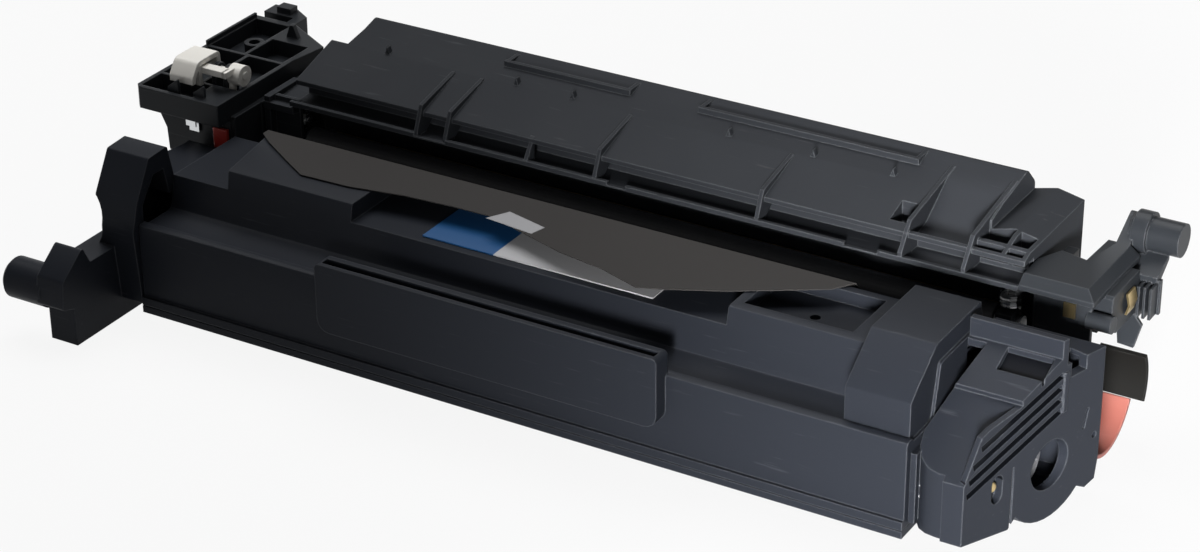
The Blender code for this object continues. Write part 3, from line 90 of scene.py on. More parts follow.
def softbox(name, place, target, size, power, beam=180):
    """A rectangular lamp; a beam under 180 degrees is one with a grid in front of it."""
    lamp = bpy.data.lights.new(name, "AREA")
    lamp.shape = "RECTANGLE"
    lamp.size, lamp.size_y = size
    lamp.energy = power
    lamp.spread = math.radians(beam)
    box = bpy.data.objects.new(name, lamp)
    box.location = place
    box.rotation_euler = (Vector(target) - Vector(place)).to_track_quat("-Z", "Y").to_euler()
    box.visible_camera = False
    bpy.context.scene.collection.objects.link(box)


def add(tree, kind, values=None, **settings):
    """A shader node with its settings, and the values of its own sockets."""
    made = tree.nodes.new("ShaderNode" + kind)
    for setting, choice in settings.items():
        setattr(made, setting, choice)
    for socket, value in (values or {}).items():
        made.inputs[socket].default_value = value
    return made


def new_finish(name, values):
    """A new material with its node tree and its surface shader."""
    material = bpy.data.materials.new(name)
    material.use_nodes = True
    surface = material.node_tree.nodes["Principled BSDF"]
    for socket, value in values.items():
        surface.inputs[socket].default_value = value
    return material, material.node_tree, surface


def mirrored_rays(tree, path):
    """1 for a ray that comes from a shiny or a clear surface, and 0 for the others."""
    either = add(tree, "Math", operation="MAXIMUM")
    tree.links.new(path.outputs["Is Glossy Ray"], either.inputs[0])
    tree.links.new(path.outputs["Is Transmission Ray"], either.inputs[1])
    return either


def white_floor():
    """White to the camera and in reflections, with the cartridge's soft shadow kept."""
    mesh = bpy.data.meshes.new("studio_floor")
    shape = bmesh.new()
    bmesh.ops.create_grid(shape, x_segments=1, y_segments=1, size=FLOOR_SIZE)
    shape.to_mesh(mesh)
    shape.free()
    floor = bpy.data.objects.new("studio_floor", mesh)
    floor.location.z = cad_box[0][2] - FLOOR_GAP
    bpy.context.scene.collection.objects.link(floor)
    material, tree, base = new_finish(
        "white_floor", {"Base Color": (*SHADOW_WHITE, 1), "Roughness": 0.9}
    )
    glow = add(tree, "Emission", {"Color": (*FLOOR_WHITE, 1), "Strength": 1.0})
    path = add(tree, "LightPath")
    seen = add(tree, "Math", operation="MAXIMUM")
    share = add(tree, "Math", {1: FLOOR_GLOW}, operation="MULTIPLY")
    mix = add(tree, "MixShader")
    link = tree.links.new
    link(path.outputs["Is Camera Ray"], seen.inputs[0])
    link(mirrored_rays(tree, path).outputs[0], seen.inputs[1])
    link(seen.outputs[0], share.inputs[0])
    link(share.outputs[0], mix.inputs["Fac"])
    link(base.outputs[0], mix.inputs[1])
    link(glow.outputs[0], mix.inputs[2])
    link(mix.outputs[0], tree.nodes["Material Output"].inputs["Surface"])
    mesh.materials.append(material)


def white_world():
    """White to the camera, and in reflections up to the top of a low white backdrop."""
    world = bpy.data.worlds.new("studio_world")
    world.use_nodes = True
    tree = world.node_tree
    back = tree.nodes["Background"]
    back.inputs["Color"].default_value = (1, 1, 1, 1)
    way = add(tree, "TexCoord")
    up = add(tree, "SeparateXYZ")
    backdrop = add(tree, "MapRange", {
        "From Min": BACKDROP_TOP,
        "From Max": BACKDROP_TOP + BACKDROP_FADE,
        "To Min": 1.0,
        "To Max": ROOM_LIGHT,
    }, interpolation_type="SMOOTHSTEP")
    path = add(tree, "LightPath")
    around = add(tree, "Mix", {"A": ROOM_LIGHT})
    strength = add(tree, "Mix", {"B": 1.0})
    link = tree.links.new
    link(way.outputs["Generated"], up.inputs[0])
    link(up.outputs["Z"], backdrop.inputs["Value"])
    link(mirrored_rays(tree, path).outputs[0], around.inputs["Factor"])
    link(backdrop.outputs[0], around.inputs["B"])
    link(path.outputs["Is Camera Ray"], strength.inputs["Factor"])
    link(around.outputs[0], strength.inputs["A"])
    link(strength.outputs[0], back.inputs["Strength"])
    bpy.context.scene.world = world


look_through_long_lens()
white_floor()
white_world()
softbox(
    "right_softbox", place=(0.50, -0.90, 0.20), target=(0.19, -0.04, 0.02),
    size=(0.25, 0.25), power=0.85, beam=17,
)
softbox(
    "back_softbox", place=(-0.34, 0.36, 1.05), target=(0, 0, 0.04), size=(1.0, 0.7), power=13
)
bpy.context.scene.view_settings.view_transform = "Standard"


# The two hopper shells, the end covers and the waste box. They are moulded in black
# polystyrene from spark-eroded tools, which leaves a fine even grain with a dull sheen.
SHELL_BLACK = (0.015, 0.017, 0.022)
# The paler shell colour for scuffs and edges; on the edges it is partly wear and partly a painted
# highlight.
SHELL_WORN_AND_HIGHLIT = (0.066, 0.070, 0.078)
SHELL_ROUGHNESS = 0.42
SHELL_GLOSS = 0.06
GRAIN_SIZE = 0.00035
GRAIN_HEIGHT = 0.00002
# The radius of the paler band along the edges, which is partly wear and partly a painted highlight.
EDGE_WEAR_AND_HIGHLIGHT = 0.0006
SHELL_EDGE = 0.0003


def moulded_plastic(name, colour, worn_and_highlit, roughness, gloss, grain=GRAIN_SIZE, height=GRAIN_HEIGHT):
    """Grained plastic with cloudy sheen, faint handling scuffs, and paler edges that are partly
    wear and partly a painted highlight.
    """
    material, tree, surface = new_finish(name, {"Specular IOR Level": gloss})
    place = add(tree, "TexCoord")
    cloud = add(tree, "TexNoise", {"Scale": 45, "Detail": 5})
    scuff_way = add(tree, "Mapping", {"Scale": (60, 600, 900), "Rotation": (0.3, 0.2, 0.5)})
    scuff = add(tree, "TexNoise", {"Scale": 1, "Detail": 3})
    scratches = add(tree, "ValToRGB")
    scratches.color_ramp.elements[0].position = 0.66
    scratches.color_ramp.elements[1].position = 0.80
    edge = add(tree, "Bevel", {"Radius": EDGE_WEAR_AND_HIGHLIGHT})
    flat = add(tree, "NewGeometry")
    turn = add(tree, "VectorMath", operation="DOT_PRODUCT")
    # Paler colour where the surface turns at an edge: partly wear, partly a painted highlight along
    # the edges.
    rubbed_and_highlit_edge = add(tree, "MapRange", {"From Min": 0.995, "From Max": 0.80})
    wear_and_highlight = add(tree, "Math", {1: 0.35}, operation="MULTIPLY_ADD")
    tone = add(tree, "Mix", {"A": (*colour, 1), "B": (*worn_and_highlit, 1)}, data_type="RGBA")
    sheen = add(tree, "MapRange", {"To Min": roughness - 0.07, "To Max": roughness + 0.09})
    pits = add(tree, "TexNoise", {"Scale": 1 / grain, "Detail": 2})
    bump = add(tree, "Bump", {"Strength": 0.5, "Distance": height})
    link = tree.links.new
    for texture in (cloud, scuff_way, pits):
        link(place.outputs["Object"], texture.inputs["Vector"])
    link(scuff_way.outputs[0], scuff.inputs["Vector"])
    link(scuff.outputs["Fac"], scratches.inputs["Fac"])
    link(edge.outputs[0], turn.inputs[0])
    link(flat.outputs["Normal"], turn.inputs[1])
    link(turn.outputs["Value"], rubbed_and_highlit_edge.inputs["Value"])
    link(scratches.outputs["Color"], wear_and_highlight.inputs[0])
    link(rubbed_and_highlit_edge.outputs[0], wear_and_highlight.inputs[2])
    link(wear_and_highlight.outputs[0], tone.inputs["Factor"])
    link(tone.outputs["Result"], surface.inputs["Base Color"])
    link(cloud.outputs["Fac"], sheen.inputs["Value"])
    link(sheen.outputs[0], surface.inputs["Roughness"])
    link(pits.outputs["Fac"], bump.inputs["Height"])
    link(edge.outputs[0], bump.inputs["Normal"])
    link(bump.outputs[0], surface.inputs["Normal"])
    return material


def soften(piece, edge):
    """A small bevel on the moulded edges."""
    soft = piece.modifiers.new("moulded_edges", "BEVEL")
    soft.width = edge
    soft.segments = 2
    soft.limit_method = "ANGLE"
    soft.angle_limit = math.radians(40)
    soft.use_clamp_overlap = True
    soft.harden_normals = True


def dress(node, material, edge=SHELL_EDGE):
    """Puts a finish on a node of the frame and softens its moulded edges."""
    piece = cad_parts[node]
    piece.data.materials.clear()
    piece.data.materials.append(material)
    if edge:
        soften(piece, edge)
    return piece


def fitted(piece, node, body, material, edge=SHELL_EDGE):
    """Puts a worked-out piece in the place of a plain node, on the same moving body."""
    piece.data.materials.clear()
    piece.data.materials.append(material)
    piece.data.shade_smooth()
    piece.data.set_sharp_from_angle(angle=math.radians(35))
    if edge:
        soften(piece, edge)
    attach(piece, body)
    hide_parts(node)
    return piece


shell_plastic = moulded_plastic(
    "shell_plastic", SHELL_BLACK, SHELL_WORN_AND_HIGHLIT, roughness=SHELL_ROUGHNESS, gloss=SHELL_GLOSS
)
dress("hopper_base", shell_plastic)


# The upper shell of the toner hopper, which is what the eye meets first: the front panel with
# its finger grip, the raised block with the label's recess, and the bump at the right. It is
# one black moulding with thin walls, welded to the shell below it.
GAP = 0.0003
WALL = 0.002
NIP_GAP = 0.0003
RUNNING_GAP = 0.00025
HOPPER_LEFT = -0.128
HOPPER_RIGHT = 0.128
SHELF_Z = 0.0423
SHELF_FRONT_X = -0.107
SHELF_BACK_X = -0.1135
PANEL_Y = -0.046
FLANGE_Z = 0.0064
FLANGE_HEIGHT = 0.0026
FLANGE_DEPTH = 0.0012
RIDGE_Z = 0.033
RIDGE_WIDTH = 0.003
CHANNEL_DROP = 0.0011
BLOCK_FRONT_Y = -0.0265
BLOCK_LEAN = 0.0035
BLOCK_TOP_Z = 0.048
BLOCK_REAR_Y = 0.0005
HOPPER_BACK_Y = 0.009
LEDGE_Z = 0.0278
LEDGE_FRONT_Y = -0.001
BUMP_LEFT = 0.1075
BUMP_TOP_Z = 0.054
BUMP_FRONT_Y = -0.0425
BUMP_BROW_Z = 0.043
GRIP_LEFT = -0.0595
GRIP_RIGHT = 0.0545
GRIP_BOTTOM_Z = 0.018
GRIP_TOP_Z = 0.040
GRIP_DEPTH = 0.005
GRIP_THICKNESS = 0.0065
GRIP_RIM = 0.0016
GRIP_CORNER = 0.004
RECESS_LEFT = -0.0625
RECESS_RIGHT = 0.0635
RECESS_DEPTH = 0.0055
POCKET_RIGHT = 0.1
POCKET_DEPTH = 0.0042
PEG_HOLE = (0.0839, -0.0138)
DRUM_Y = 0.0285
DRUM_Z = 0.017
DRUM_RADIUS = 0.012
SLEEVE_RADIUS = 0.0062
SLEEVE_Z = 0.0165
SLEEVE_SHAFT_RADIUS = 0.003
SLEEVE_Y = DRUM_Y - math.sqrt(
    (DRUM_RADIUS + SLEEVE_RADIUS + NIP_GAP) ** 2 - (DRUM_Z - SLEEVE_Z) ** 2
)
BUSH_WALL = 0.0012
GEAR_MODULE = 0.001
COUPLING_TEETH = 26
SLEEVE_TEETH = 18
AGITATOR_TEETH = 16
CENTRE_SLACK = 0.0002
COUPLING_Z = 0.017
COUPLING_SHAFT_RADIUS = 0.004
PLUG_RADIUS = 0.0062
PLUG_Y = -0.0165
PLUG_Z = 0.0185
AGITATOR_SHAFT_RADIUS = 0.0025
AXES = {
    "X": Matrix(((0, 0, 1), (1, 0, 0), (0, 1, 0))),
    "Y": Matrix(((1, 0, 0), (0, 0, -1), (0, 1, 0))),
    "Z": Matrix.Identity(3),
}
CHANNEL_Z = RIDGE_Z - CHANNEL_DROP
COUPLING_REACH = GEAR_MODULE * (COUPLING_TEETH + SLEEVE_TEETH) / 2 + CENTRE_SLACK
COUPLING_Y = SLEEVE_Y - math.sqrt(COUPLING_REACH ** 2 - (COUPLING_Z - SLEEVE_Z) ** 2)
AGITATOR_Y = COUPLING_Y - GEAR_MODULE * (COUPLING_TEETH + AGITATOR_TEETH) / 2 - CENTRE_SLACK
AGITATOR_Z = COUPLING_Z
SLEEVE = (SLEEVE_Y, SLEEVE_Z)
COUPLING = (COUPLING_Y, COUPLING_Z)
AGITATOR = (AGITATOR_Y, AGITATOR_Z)
BUSH_RADIUS = SLEEVE_SHAFT_RADIUS + RUNNING_GAP + BUSH_WALL
SLEEVE_LOBE = BUSH_RADIUS + GAP + 0.0015


def on_bench(obj):
    """Lays a new object out in the scene."""
    bpy.context.scene.collection.objects.link(obj)
    return obj


def arc(centre, radius, start, end, steps=8):
    """Points on a circle from start to end, in degrees."""
    points = []
    for step in range(steps + 1):
        angle = math.radians(start + (end - start) * step / steps)
        points.append((centre[0] + radius * math.cos(angle), centre[1] + radius * math.sin(angle)))
    return points


def rounded(outline, steps=4):
    """An outline whose corners with a third number are filleted to that radius."""
    points = []
    for index, corner in enumerate(outline):
        if len(corner) == 2:
            points.append(corner)
            continue
        here = Vector(corner[:2])
        before = (Vector(outline[index - 1][:2]) - here).normalized()
        after = (Vector(outline[(index + 1) % len(outline)][:2]) - here).normalized()
        half_angle = before.angle(after) / 2
        reach = corner[2] / math.tan(half_angle)
        middle = here + (before + after).normalized() * (corner[2] / math.sin(half_angle))
        first = here + before * reach - middle
        turn = first.angle_signed(here + after * reach - middle)
        for step in range(steps + 1):
            point = middle + Matrix.Rotation(-turn * step / steps, 2) @ first
            points.append((point.x, point.y))
    return points


def mesh_from(obj, name):
    """The evaluated mesh of an object, in world space and with its caps welded."""
    graph = bpy.context.evaluated_depsgraph_get()
    mesh = bpy.data.meshes.new_from_object(obj.evaluated_get(graph))
    mesh.transform(obj.matrix_world)
    work = bmesh.new()
    work.from_mesh(mesh)
    bmesh.ops.remove_doubles(work, verts=work.verts, dist=1e-7)
    work.to_mesh(mesh)
    work.free()
    mesh.name = name
    return mesh


def settled(obj, name):
    """A plain mesh object in the place of a curve or of an object with modifiers."""
    bpy.context.view_layer.update()
    mesh = mesh_from(obj, name)
    bpy.data.objects.remove(obj, do_unlink=True)
    return on_bench(bpy.data.objects.new(name, mesh))


def prism(name, outline, low, high, axis="X"):
    """A flat outline pushed along an axis, as (y, z), (x, z) or (x, y) points."""
    curve = bpy.data.curves.new(name, "CURVE")
    curve.dimensions = "2D"
    curve.fill_mode = "BOTH"
    curve.extrude = (high - low) / 2
    spline = curve.splines.new("POLY")
    spline.points.add(len(outline) - 1)
    for point, (u, v) in zip(spline.points, outline):
        point.co = (u, v, 0, 1)
    spline.use_cyclic_u = True
    obj = on_bench(bpy.data.objects.new(name, curve))
    middle = Vector([(low + high) / 2 if letter == axis else 0 for letter in "XYZ"])
    obj.matrix_world = Matrix.Translation(middle) @ AXES[axis].to_4x4()
    return settled(obj, name)


def as_object(name, work):
    """An object from a worked-out mesh."""
    mesh = bpy.data.meshes.new(name)
    work.to_mesh(mesh)
    work.free()
    return on_bench(bpy.data.objects.new(name, mesh))


def box(name, low, high):
    """A square block between two opposite corners."""
    work = bmesh.new()
    bmesh.ops.create_cube(work, size=1.0)
    size = [top - bottom for bottom, top in zip(low, high)]
    middle = [(top + bottom) / 2 for bottom, top in zip(low, high)]
    bmesh.ops.scale(work, vec=size, verts=work.verts)
    bmesh.ops.translate(work, vec=middle, verts=work.verts)
    return as_object(name, work)


def rod(name, radius, low, high, centre, axis="X", sides=32):
    """A cylinder along an axis. Its centre is given by the two other coordinates."""
    work = bmesh.new()
    bmesh.ops.create_cone(
        work, cap_ends=True, segments=sides, radius1=radius, radius2=radius, depth=high - low
    )
    bmesh.ops.transform(work, matrix=AXES[axis].to_4x4(), verts=work.verts)
    others = [letter for letter in "XYZ" if letter != axis]
    place = dict(zip(others, centre))
    place[axis] = (low + high) / 2
    bmesh.ops.translate(work, vec=[place[letter] for letter in "XYZ"], verts=work.verts)
    return as_object(name, work)


def turned(name, profile, centre, steps=32):
    """A shape turned about an axis along X, from (x, radius) points, left to right."""
    mesh = bpy.data.meshes.new(name)
    points = [(radius, 0, x) for x, radius in reversed(profile)]
    mesh.from_pydata(points, [(i, i + 1) for i in range(len(points) - 1)], [])
    obj = on_bench(bpy.data.objects.new(name, mesh))
    screw = obj.modifiers.new("turn", "SCREW")
    screw.axis = "Z"
    screw.steps = steps
    screw.render_steps = steps
    screw.use_merge_vertices = True
    screw.merge_threshold = 0.00001
    obj.matrix_world = Matrix.Translation((0, *centre)) @ AXES["X"].to_4x4()
    return settled(obj, name)


def combine(target, others, operation):
    """One solid out of several, by a Boolean operation."""
    for other in others:
        modifier = target.modifiers.new(operation.lower(), "BOOLEAN")
        modifier.operation = operation
        modifier.object = other
    name = target.name
    target.name = name + "_blank"
    result = settled(target, name)
    for other in others:
        bpy.data.objects.remove(other, do_unlink=True)
    return result


def cut(target, *cutters):
    """A solid with the cutters taken away."""
    return combine(target, cutters, "DIFFERENCE")


def join(target, *others):
    """Several solids as one moulding."""
    return combine(target, others, "UNION")


def hopper_outline():
    """The upper shell from the side, from the flange over the block to the sleeve's ledge."""
    return rounded([
        (PANEL_Y - FLANGE_DEPTH, FLANGE_Z),
        (PANEL_Y - FLANGE_DEPTH, FLANGE_Z + FLANGE_HEIGHT),
        (PANEL_Y, FLANGE_Z + FLANGE_HEIGHT),
        (PANEL_Y, RIDGE_Z, 0.0012),
        (PANEL_Y + RIDGE_WIDTH, RIDGE_Z),
        (PANEL_Y + RIDGE_WIDTH + CHANNEL_DROP, CHANNEL_Z),
        (BLOCK_FRONT_Y - BLOCK_LEAN, CHANNEL_Z, 0.002),
        (BLOCK_FRONT_Y, BLOCK_TOP_Z, 0.001),
        (BLOCK_REAR_Y, BLOCK_TOP_Z, 0.001),
        (HOPPER_BACK_Y, LEDGE_Z + WALL + 0.001),
        (HOPPER_BACK_Y, LEDGE_Z),
        (LEDGE_FRONT_Y - 0.001, LEDGE_Z),
        (LEDGE_FRONT_Y - 0.001, FLANGE_Z),
    ], steps=2)


def hopper_cavity(roof_z, wall=WALL):
    """The toner space under a roof of the given height, open below and towards the sleeve."""
    slope = (HOPPER_BACK_Y - BLOCK_REAR_Y) / (BLOCK_TOP_Z - LEDGE_Z - WALL)
    inner_back = HOPPER_BACK_Y - 1.4 * wall
    lean = BLOCK_LEAN * (BLOCK_TOP_Z - roof_z) / (BLOCK_TOP_Z - CHANNEL_Z)
    return [
        (PANEL_Y + wall, FLANGE_Z - wall / 2),
        (PANEL_Y + wall, CHANNEL_Z - wall),
        (BLOCK_FRONT_Y - BLOCK_LEAN + wall, CHANNEL_Z - wall),
        (BLOCK_FRONT_Y + 0.75 * wall - lean, roof_z),
        (inner_back - slope * (roof_z - LEDGE_Z - wall), roof_z),
        (inner_back, LEDGE_Z + wall),
        (LEDGE_FRONT_Y + wall - WALL, LEDGE_Z + wall),
        (LEDGE_FRONT_Y + wall - WALL, FLANGE_Z - wall / 2),
    ]


def bump_outline():
    """The bump at the right end from the side, with its sloping brow."""
    return rounded([
        (BUMP_FRONT_Y, CHANNEL_Z - 0.001),
        (BUMP_FRONT_Y, BUMP_BROW_Z, 0.001),
        (BUMP_FRONT_Y + 0.004, BUMP_BROW_Z + 0.003),
        (BLOCK_FRONT_Y - 0.001, BUMP_TOP_Z, 0.0015),
        (BLOCK_REAR_Y, BUMP_TOP_Z, 0.001),
        (BLOCK_REAR_Y + 0.0025, BLOCK_TOP_Z - 0.006),
        (BLOCK_REAR_Y - 0.004, CHANNEL_Z),
    ], steps=2)


def end_wall(name, low, high):
    """A wall that closes the hopper's end and reaches back round the sleeve's shaft."""
    outline = [
        (PANEL_Y + 0.0005, FLANGE_Z),
        (PANEL_Y + 0.0005, CHANNEL_Z - 0.0005),
        (LEDGE_FRONT_Y, CHANNEL_Z - 0.0005),
        (HOPPER_BACK_Y - 0.0005, LEDGE_Z + 0.0005),
        *arc(SLEEVE, SLEEVE_LOBE, 50, -60, 8),
        (LEDGE_FRONT_Y + 0.003, FLANGE_Z),
    ]
    return prism(name, outline, low, high)


def make_hopper_housing():
    """The shell with its rooms, recess, pocket and shelf cut in, and its grip and bores."""
    block_room = SHELF_FRONT_X + WALL
    middle_room = (RECESS_LEFT - WALL, RECESS_RIGHT + WALL)
    rooms = [
        prism(name, hopper_cavity(roof_z, wall), low, high)
        for name, roof_z, wall, low, high in (
            ("low_room", SHELF_Z - WALL, 1.1 * WALL, HOPPER_LEFT + WALL, block_room + 0.001),
            ("left_room", BLOCK_TOP_Z - WALL, WALL, block_room, middle_room[0]),
            (
                "middle_room", BLOCK_TOP_Z - RECESS_DEPTH - WALL, WALL,
                middle_room[0] - 0.001, middle_room[1] + 0.001,
            ),
            ("right_room", BLOCK_TOP_Z - 3.0 * WALL, WALL, middle_room[1], HOPPER_RIGHT - WALL),
        )
    ]
    housing = cut(prism("hopper_shell", hopper_outline(), HOPPER_LEFT, HOPPER_RIGHT), *rooms)
    above = BLOCK_TOP_Z + 0.001
    recess = box(
        "recess",
        (RECESS_LEFT, BLOCK_FRONT_Y - 0.004, BLOCK_TOP_Z - RECESS_DEPTH),
        (RECESS_RIGHT, BLOCK_REAR_Y - 0.004, above),
    )
    pocket_floor = BLOCK_TOP_Z - POCKET_DEPTH
    pocket = box(
        "pocket",
        (RECESS_RIGHT + 0.003, BLOCK_FRONT_Y + 0.0035, pocket_floor),
        (POCKET_RIGHT, BLOCK_REAR_Y - 0.003, above),
    )
    peg_hole = rod(
        "peg_hole", 0.0016, pocket_floor - 0.0014, BLOCK_TOP_Z, PEG_HOLE, "Z", sides=12
    )
    shelf = prism("shelf", [
        (HOPPER_LEFT - 0.001, BLOCK_FRONT_Y - 0.004),
        (SHELF_FRONT_X, BLOCK_FRONT_Y - 0.004),
        (SHELF_BACK_X, BLOCK_REAR_Y + 0.006),
        (HOPPER_LEFT - 0.001, BLOCK_REAR_Y + 0.006),
    ], SHELF_Z, above, "Z")
    housing = cut(housing, recess, pocket, peg_hole, shelf)
    left_wall = end_wall("left_wall", HOPPER_LEFT + 0.0002, HOPPER_LEFT + WALL + 0.0002)
    right_wall = end_wall("right_wall", HOPPER_RIGHT - WALL - 0.0002, HOPPER_RIGHT - 0.0002)
    bump = prism("bump", bump_outline(), BUMP_LEFT, HOPPER_RIGHT - 0.001)
    grip_front = PANEL_Y - GRIP_DEPTH
    grip = prism("grip", rounded([
        (GRIP_LEFT, GRIP_BOTTOM_Z, GRIP_CORNER),
        (GRIP_RIGHT, GRIP_BOTTOM_Z, GRIP_CORNER),
        (GRIP_RIGHT, GRIP_TOP_Z, 0.0015),
        (GRIP_LEFT, GRIP_TOP_Z, 0.0015),
    ]), grip_front, grip_front + GRIP_THICKNESS, "Y")
    finger_slot = box(
        "finger_slot",
        (GRIP_LEFT + GRIP_RIM, grip_front + GRIP_RIM, GRIP_TOP_Z - 0.010),
        (GRIP_RIGHT - GRIP_RIM, PANEL_Y - 0.0005, GRIP_TOP_Z + 0.001),
    )
    housing = join(housing, left_wall, right_wall, bump, cut(grip, finger_slot))
    bores = [
        rod("bore", radius, end - 0.01, end + 0.01, centre)
        for radius, end, centre in (
            (BUSH_RADIUS + GAP, HOPPER_RIGHT, SLEEVE),
            (BUSH_RADIUS + GAP, HOPPER_LEFT, SLEEVE),
            (PLUG_RADIUS + GAP, HOPPER_LEFT, (PLUG_Y, PLUG_Z)),
            (AGITATOR_SHAFT_RADIUS + RUNNING_GAP, HOPPER_RIGHT, AGITATOR),
            (AGITATOR_SHAFT_RADIUS + RUNNING_GAP, HOPPER_LEFT, AGITATOR),
            (COUPLING_SHAFT_RADIUS + RUNNING_GAP, HOPPER_RIGHT, COUPLING),
        )
    ]
    return cut(housing, *bores)


fitted(make_hopper_housing(), "hopper_housing", "frame", shell_plastic)


# The left end cover. It is a black moulding that closes the hopper's end, with a low back,
# a foot that the cartridge stands on, and the round peg that slides in the printer's rail.
END_COVER_LEFT = -0.144
ARM_LEFT = -0.1465
ARM_THICKNESS = 0.010
FOOT_FRONT_Y = -0.0685
FOOT_REAR_Y = -0.037
FOOT_HEIGHT = 0.0125
PIN_RADIUS = 0.0065
PIN_LENGTH = 0.016
PIN_Y = -0.067
PIN_Z = 0.017
COVER_FRONT_Y = -0.0465
COVER_CREST_Z = 0.0525
COVER_BACK_Z = 0.0385
COVER_WALL = 0.0035
SCOOP_RADIUS = 0.011
MAGNET_SHAFT_RADIUS = 0.0018
SKIRT_Y = 0.0048


def make_left_end_cover():
    """The cover with its scooped end, shoulder, arm and foot, round peg and inner hollow."""
    face = HOPPER_LEFT - GAP
    block = prism("end_cover", rounded([
        (COVER_FRONT_Y, FLANGE_Z),
        (COVER_FRONT_Y - 0.0020, 0.031),
        (COVER_FRONT_Y + 0.0010, 0.040),
        (-0.0385, COVER_CREST_Z - 0.0005, 0.001),
        (-0.0295, COVER_CREST_Z, 0.001),
        (-0.0270, COVER_BACK_Z + 0.0025),
        (-0.0030, COVER_BACK_Z),
        (0.0005, COVER_BACK_Z),
        (SKIRT_Y - 0.0008, LEDGE_Z + 0.0025),
        (HOPPER_BACK_Y, LEDGE_Z),
        *arc(SLEEVE, SLEEVE_LOBE, 50, -60, 8),
        (0.002, FLANGE_Z),
    ]), END_COVER_LEFT, face)
    scoop = rod("scoop", SCOOP_RADIUS, -0.060, -0.030, (END_COVER_LEFT - 0.0072, 0.031), "Y")
    shoulder = prism("shoulder", [
        (ARM_LEFT + 0.001, FLANGE_Z + 0.0003),
        (face - 0.0003, FLANGE_Z + 0.0003),
        (face - 0.0003, RIDGE_Z),
        *arc((face - 0.001, RIDGE_Z - SCOOP_RADIUS), SCOOP_RADIUS, 90, 170, 6),
        (face - 0.0125, 0.0115),
        (ARM_LEFT + 0.001, 0.0095),
    ], PANEL_Y - 0.0002, PANEL_Y + 0.012, "Y")
    arm = prism("arm", rounded([
        (FOOT_FRONT_Y, 0),
        (FOOT_FRONT_Y, FOOT_HEIGHT),
        (PIN_Y - PIN_RADIUS, PIN_Z - 0.003, 0.001),
        (PIN_Y - PIN_RADIUS + 0.001, PIN_Z + 0.006, 0.002),
        (-0.0625, 0.0305, 0.001),
        (-0.0595, 0.0245, 0.001),
        (-0.040, 0.0245),
        (-0.034, FLANGE_Z + 0.001),
        (FOOT_REAR_Y, 0),
    ], steps=3), ARM_LEFT, ARM_LEFT + ARM_THICKNESS)
    pin_tip = ARM_LEFT - PIN_LENGTH + 0.002
    pin = turned("pin", [
        (pin_tip, 0),
        (pin_tip, PIN_RADIUS - 0.0012),
        (pin_tip + 0.0012, PIN_RADIUS),
        (ARM_LEFT + 0.001, PIN_RADIUS),
        (ARM_LEFT + 0.001, 0),
    ], (PIN_Y, PIN_Z))
    cover = join(cut(block, scoop), shoulder, arm, pin)
    hollow = prism("hollow", [
        (COVER_FRONT_Y + COVER_WALL, FLANGE_Z + WALL),
        (COVER_FRONT_Y + COVER_WALL, 0.038),
        (-0.037, 0.046),
        (-0.032, 0.046),
        (-0.030, COVER_BACK_Z - 0.0015),
        (-0.005, COVER_BACK_Z - COVER_WALL),
        (-0.003, 0.010),
        (-0.006, FLANGE_Z + WALL),
    ], END_COVER_LEFT + 0.006, face + 0.001)
    magnet_hole = rod(
        "magnet_hole", MAGNET_SHAFT_RADIUS + GAP, END_COVER_LEFT + 0.004, face + 0.001, SLEEVE
    )
    return cut(cover, hollow, magnet_hole)


fitted(make_left_end_cover(), "left_end_cover", "frame", shell_plastic)


# The label in the hopper's recess. It is a printed film with a blue field at its left end
# and a pale silver-grey field along the rest, glued to the floor of the recess.
LABEL_THICKNESS = 0.0004
LABEL_LEFT = -0.0390
LABEL_RIGHT = 0.0385
LABEL_BLUE = (0.010, 0.065, 0.18)
LABEL_PALE = (0.38, 0.38, 0.39)
LABEL_BLUE_END = -0.0145


def printed_label():
    """Two plain colour fields on a slightly wavy film."""
    material, tree, surface = new_finish("printed_label", {"Roughness": 0.32})
    place = add(tree, "TexCoord")
    split = add(tree, "SeparateXYZ")
    beyond = add(tree, "Math", {1: LABEL_BLUE_END}, operation="GREATER_THAN")
    fields = add(
        tree, "Mix", {"A": (*LABEL_BLUE, 1), "B": (*LABEL_PALE, 1)}, data_type="RGBA"
    )
    ripple = add(tree, "TexNoise", {"Scale": 120})
    bump = add(tree, "Bump", {"Strength": 0.2, "Distance": 0.0001})
    link = tree.links.new
    link(place.outputs["Object"], split.inputs[0])
    link(split.outputs["X"], beyond.inputs[0])
    link(beyond.outputs[0], fields.inputs["Factor"])
    link(fields.outputs["Result"], surface.inputs["Base Color"])
    link(place.outputs["Object"], ripple.inputs["Vector"])
    link(ripple.outputs["Fac"], bump.inputs["Height"])
    link(bump.outputs[0], surface.inputs["Normal"])
    return material


def make_label():
    """The film, on the floor of the recess."""
    floor = BLOCK_TOP_Z - RECESS_DEPTH + 0.0001
    return box(
        "label_film",
        (LABEL_LEFT, BLOCK_FRONT_Y + 0.0015, floor),
        (LABEL_RIGHT, BLOCK_REAR_Y - 0.0055, floor + LABEL_THICKNESS),
    )


fitted(make_label(), "hopper_label", "frame", printed_label(), 0)


# The protective sheet. It is a strip of dark grey paper that is tucked in between the
# charge roller and the hopper, and it curls forward over the recess.
SHEET_THICKNESS = 0.0003
SHEET_LEFT = -0.1135
SHEET_RIGHT = 0.0885
SHEET_HANG = (0.0175, 0.0345)
PAPER_GREY = (0.040, 0.038, 0.037)
PAPER_DARK = (0.032, 0.030, 0.029)
PATCH_PALE = (0.26, 0.26, 0.27)


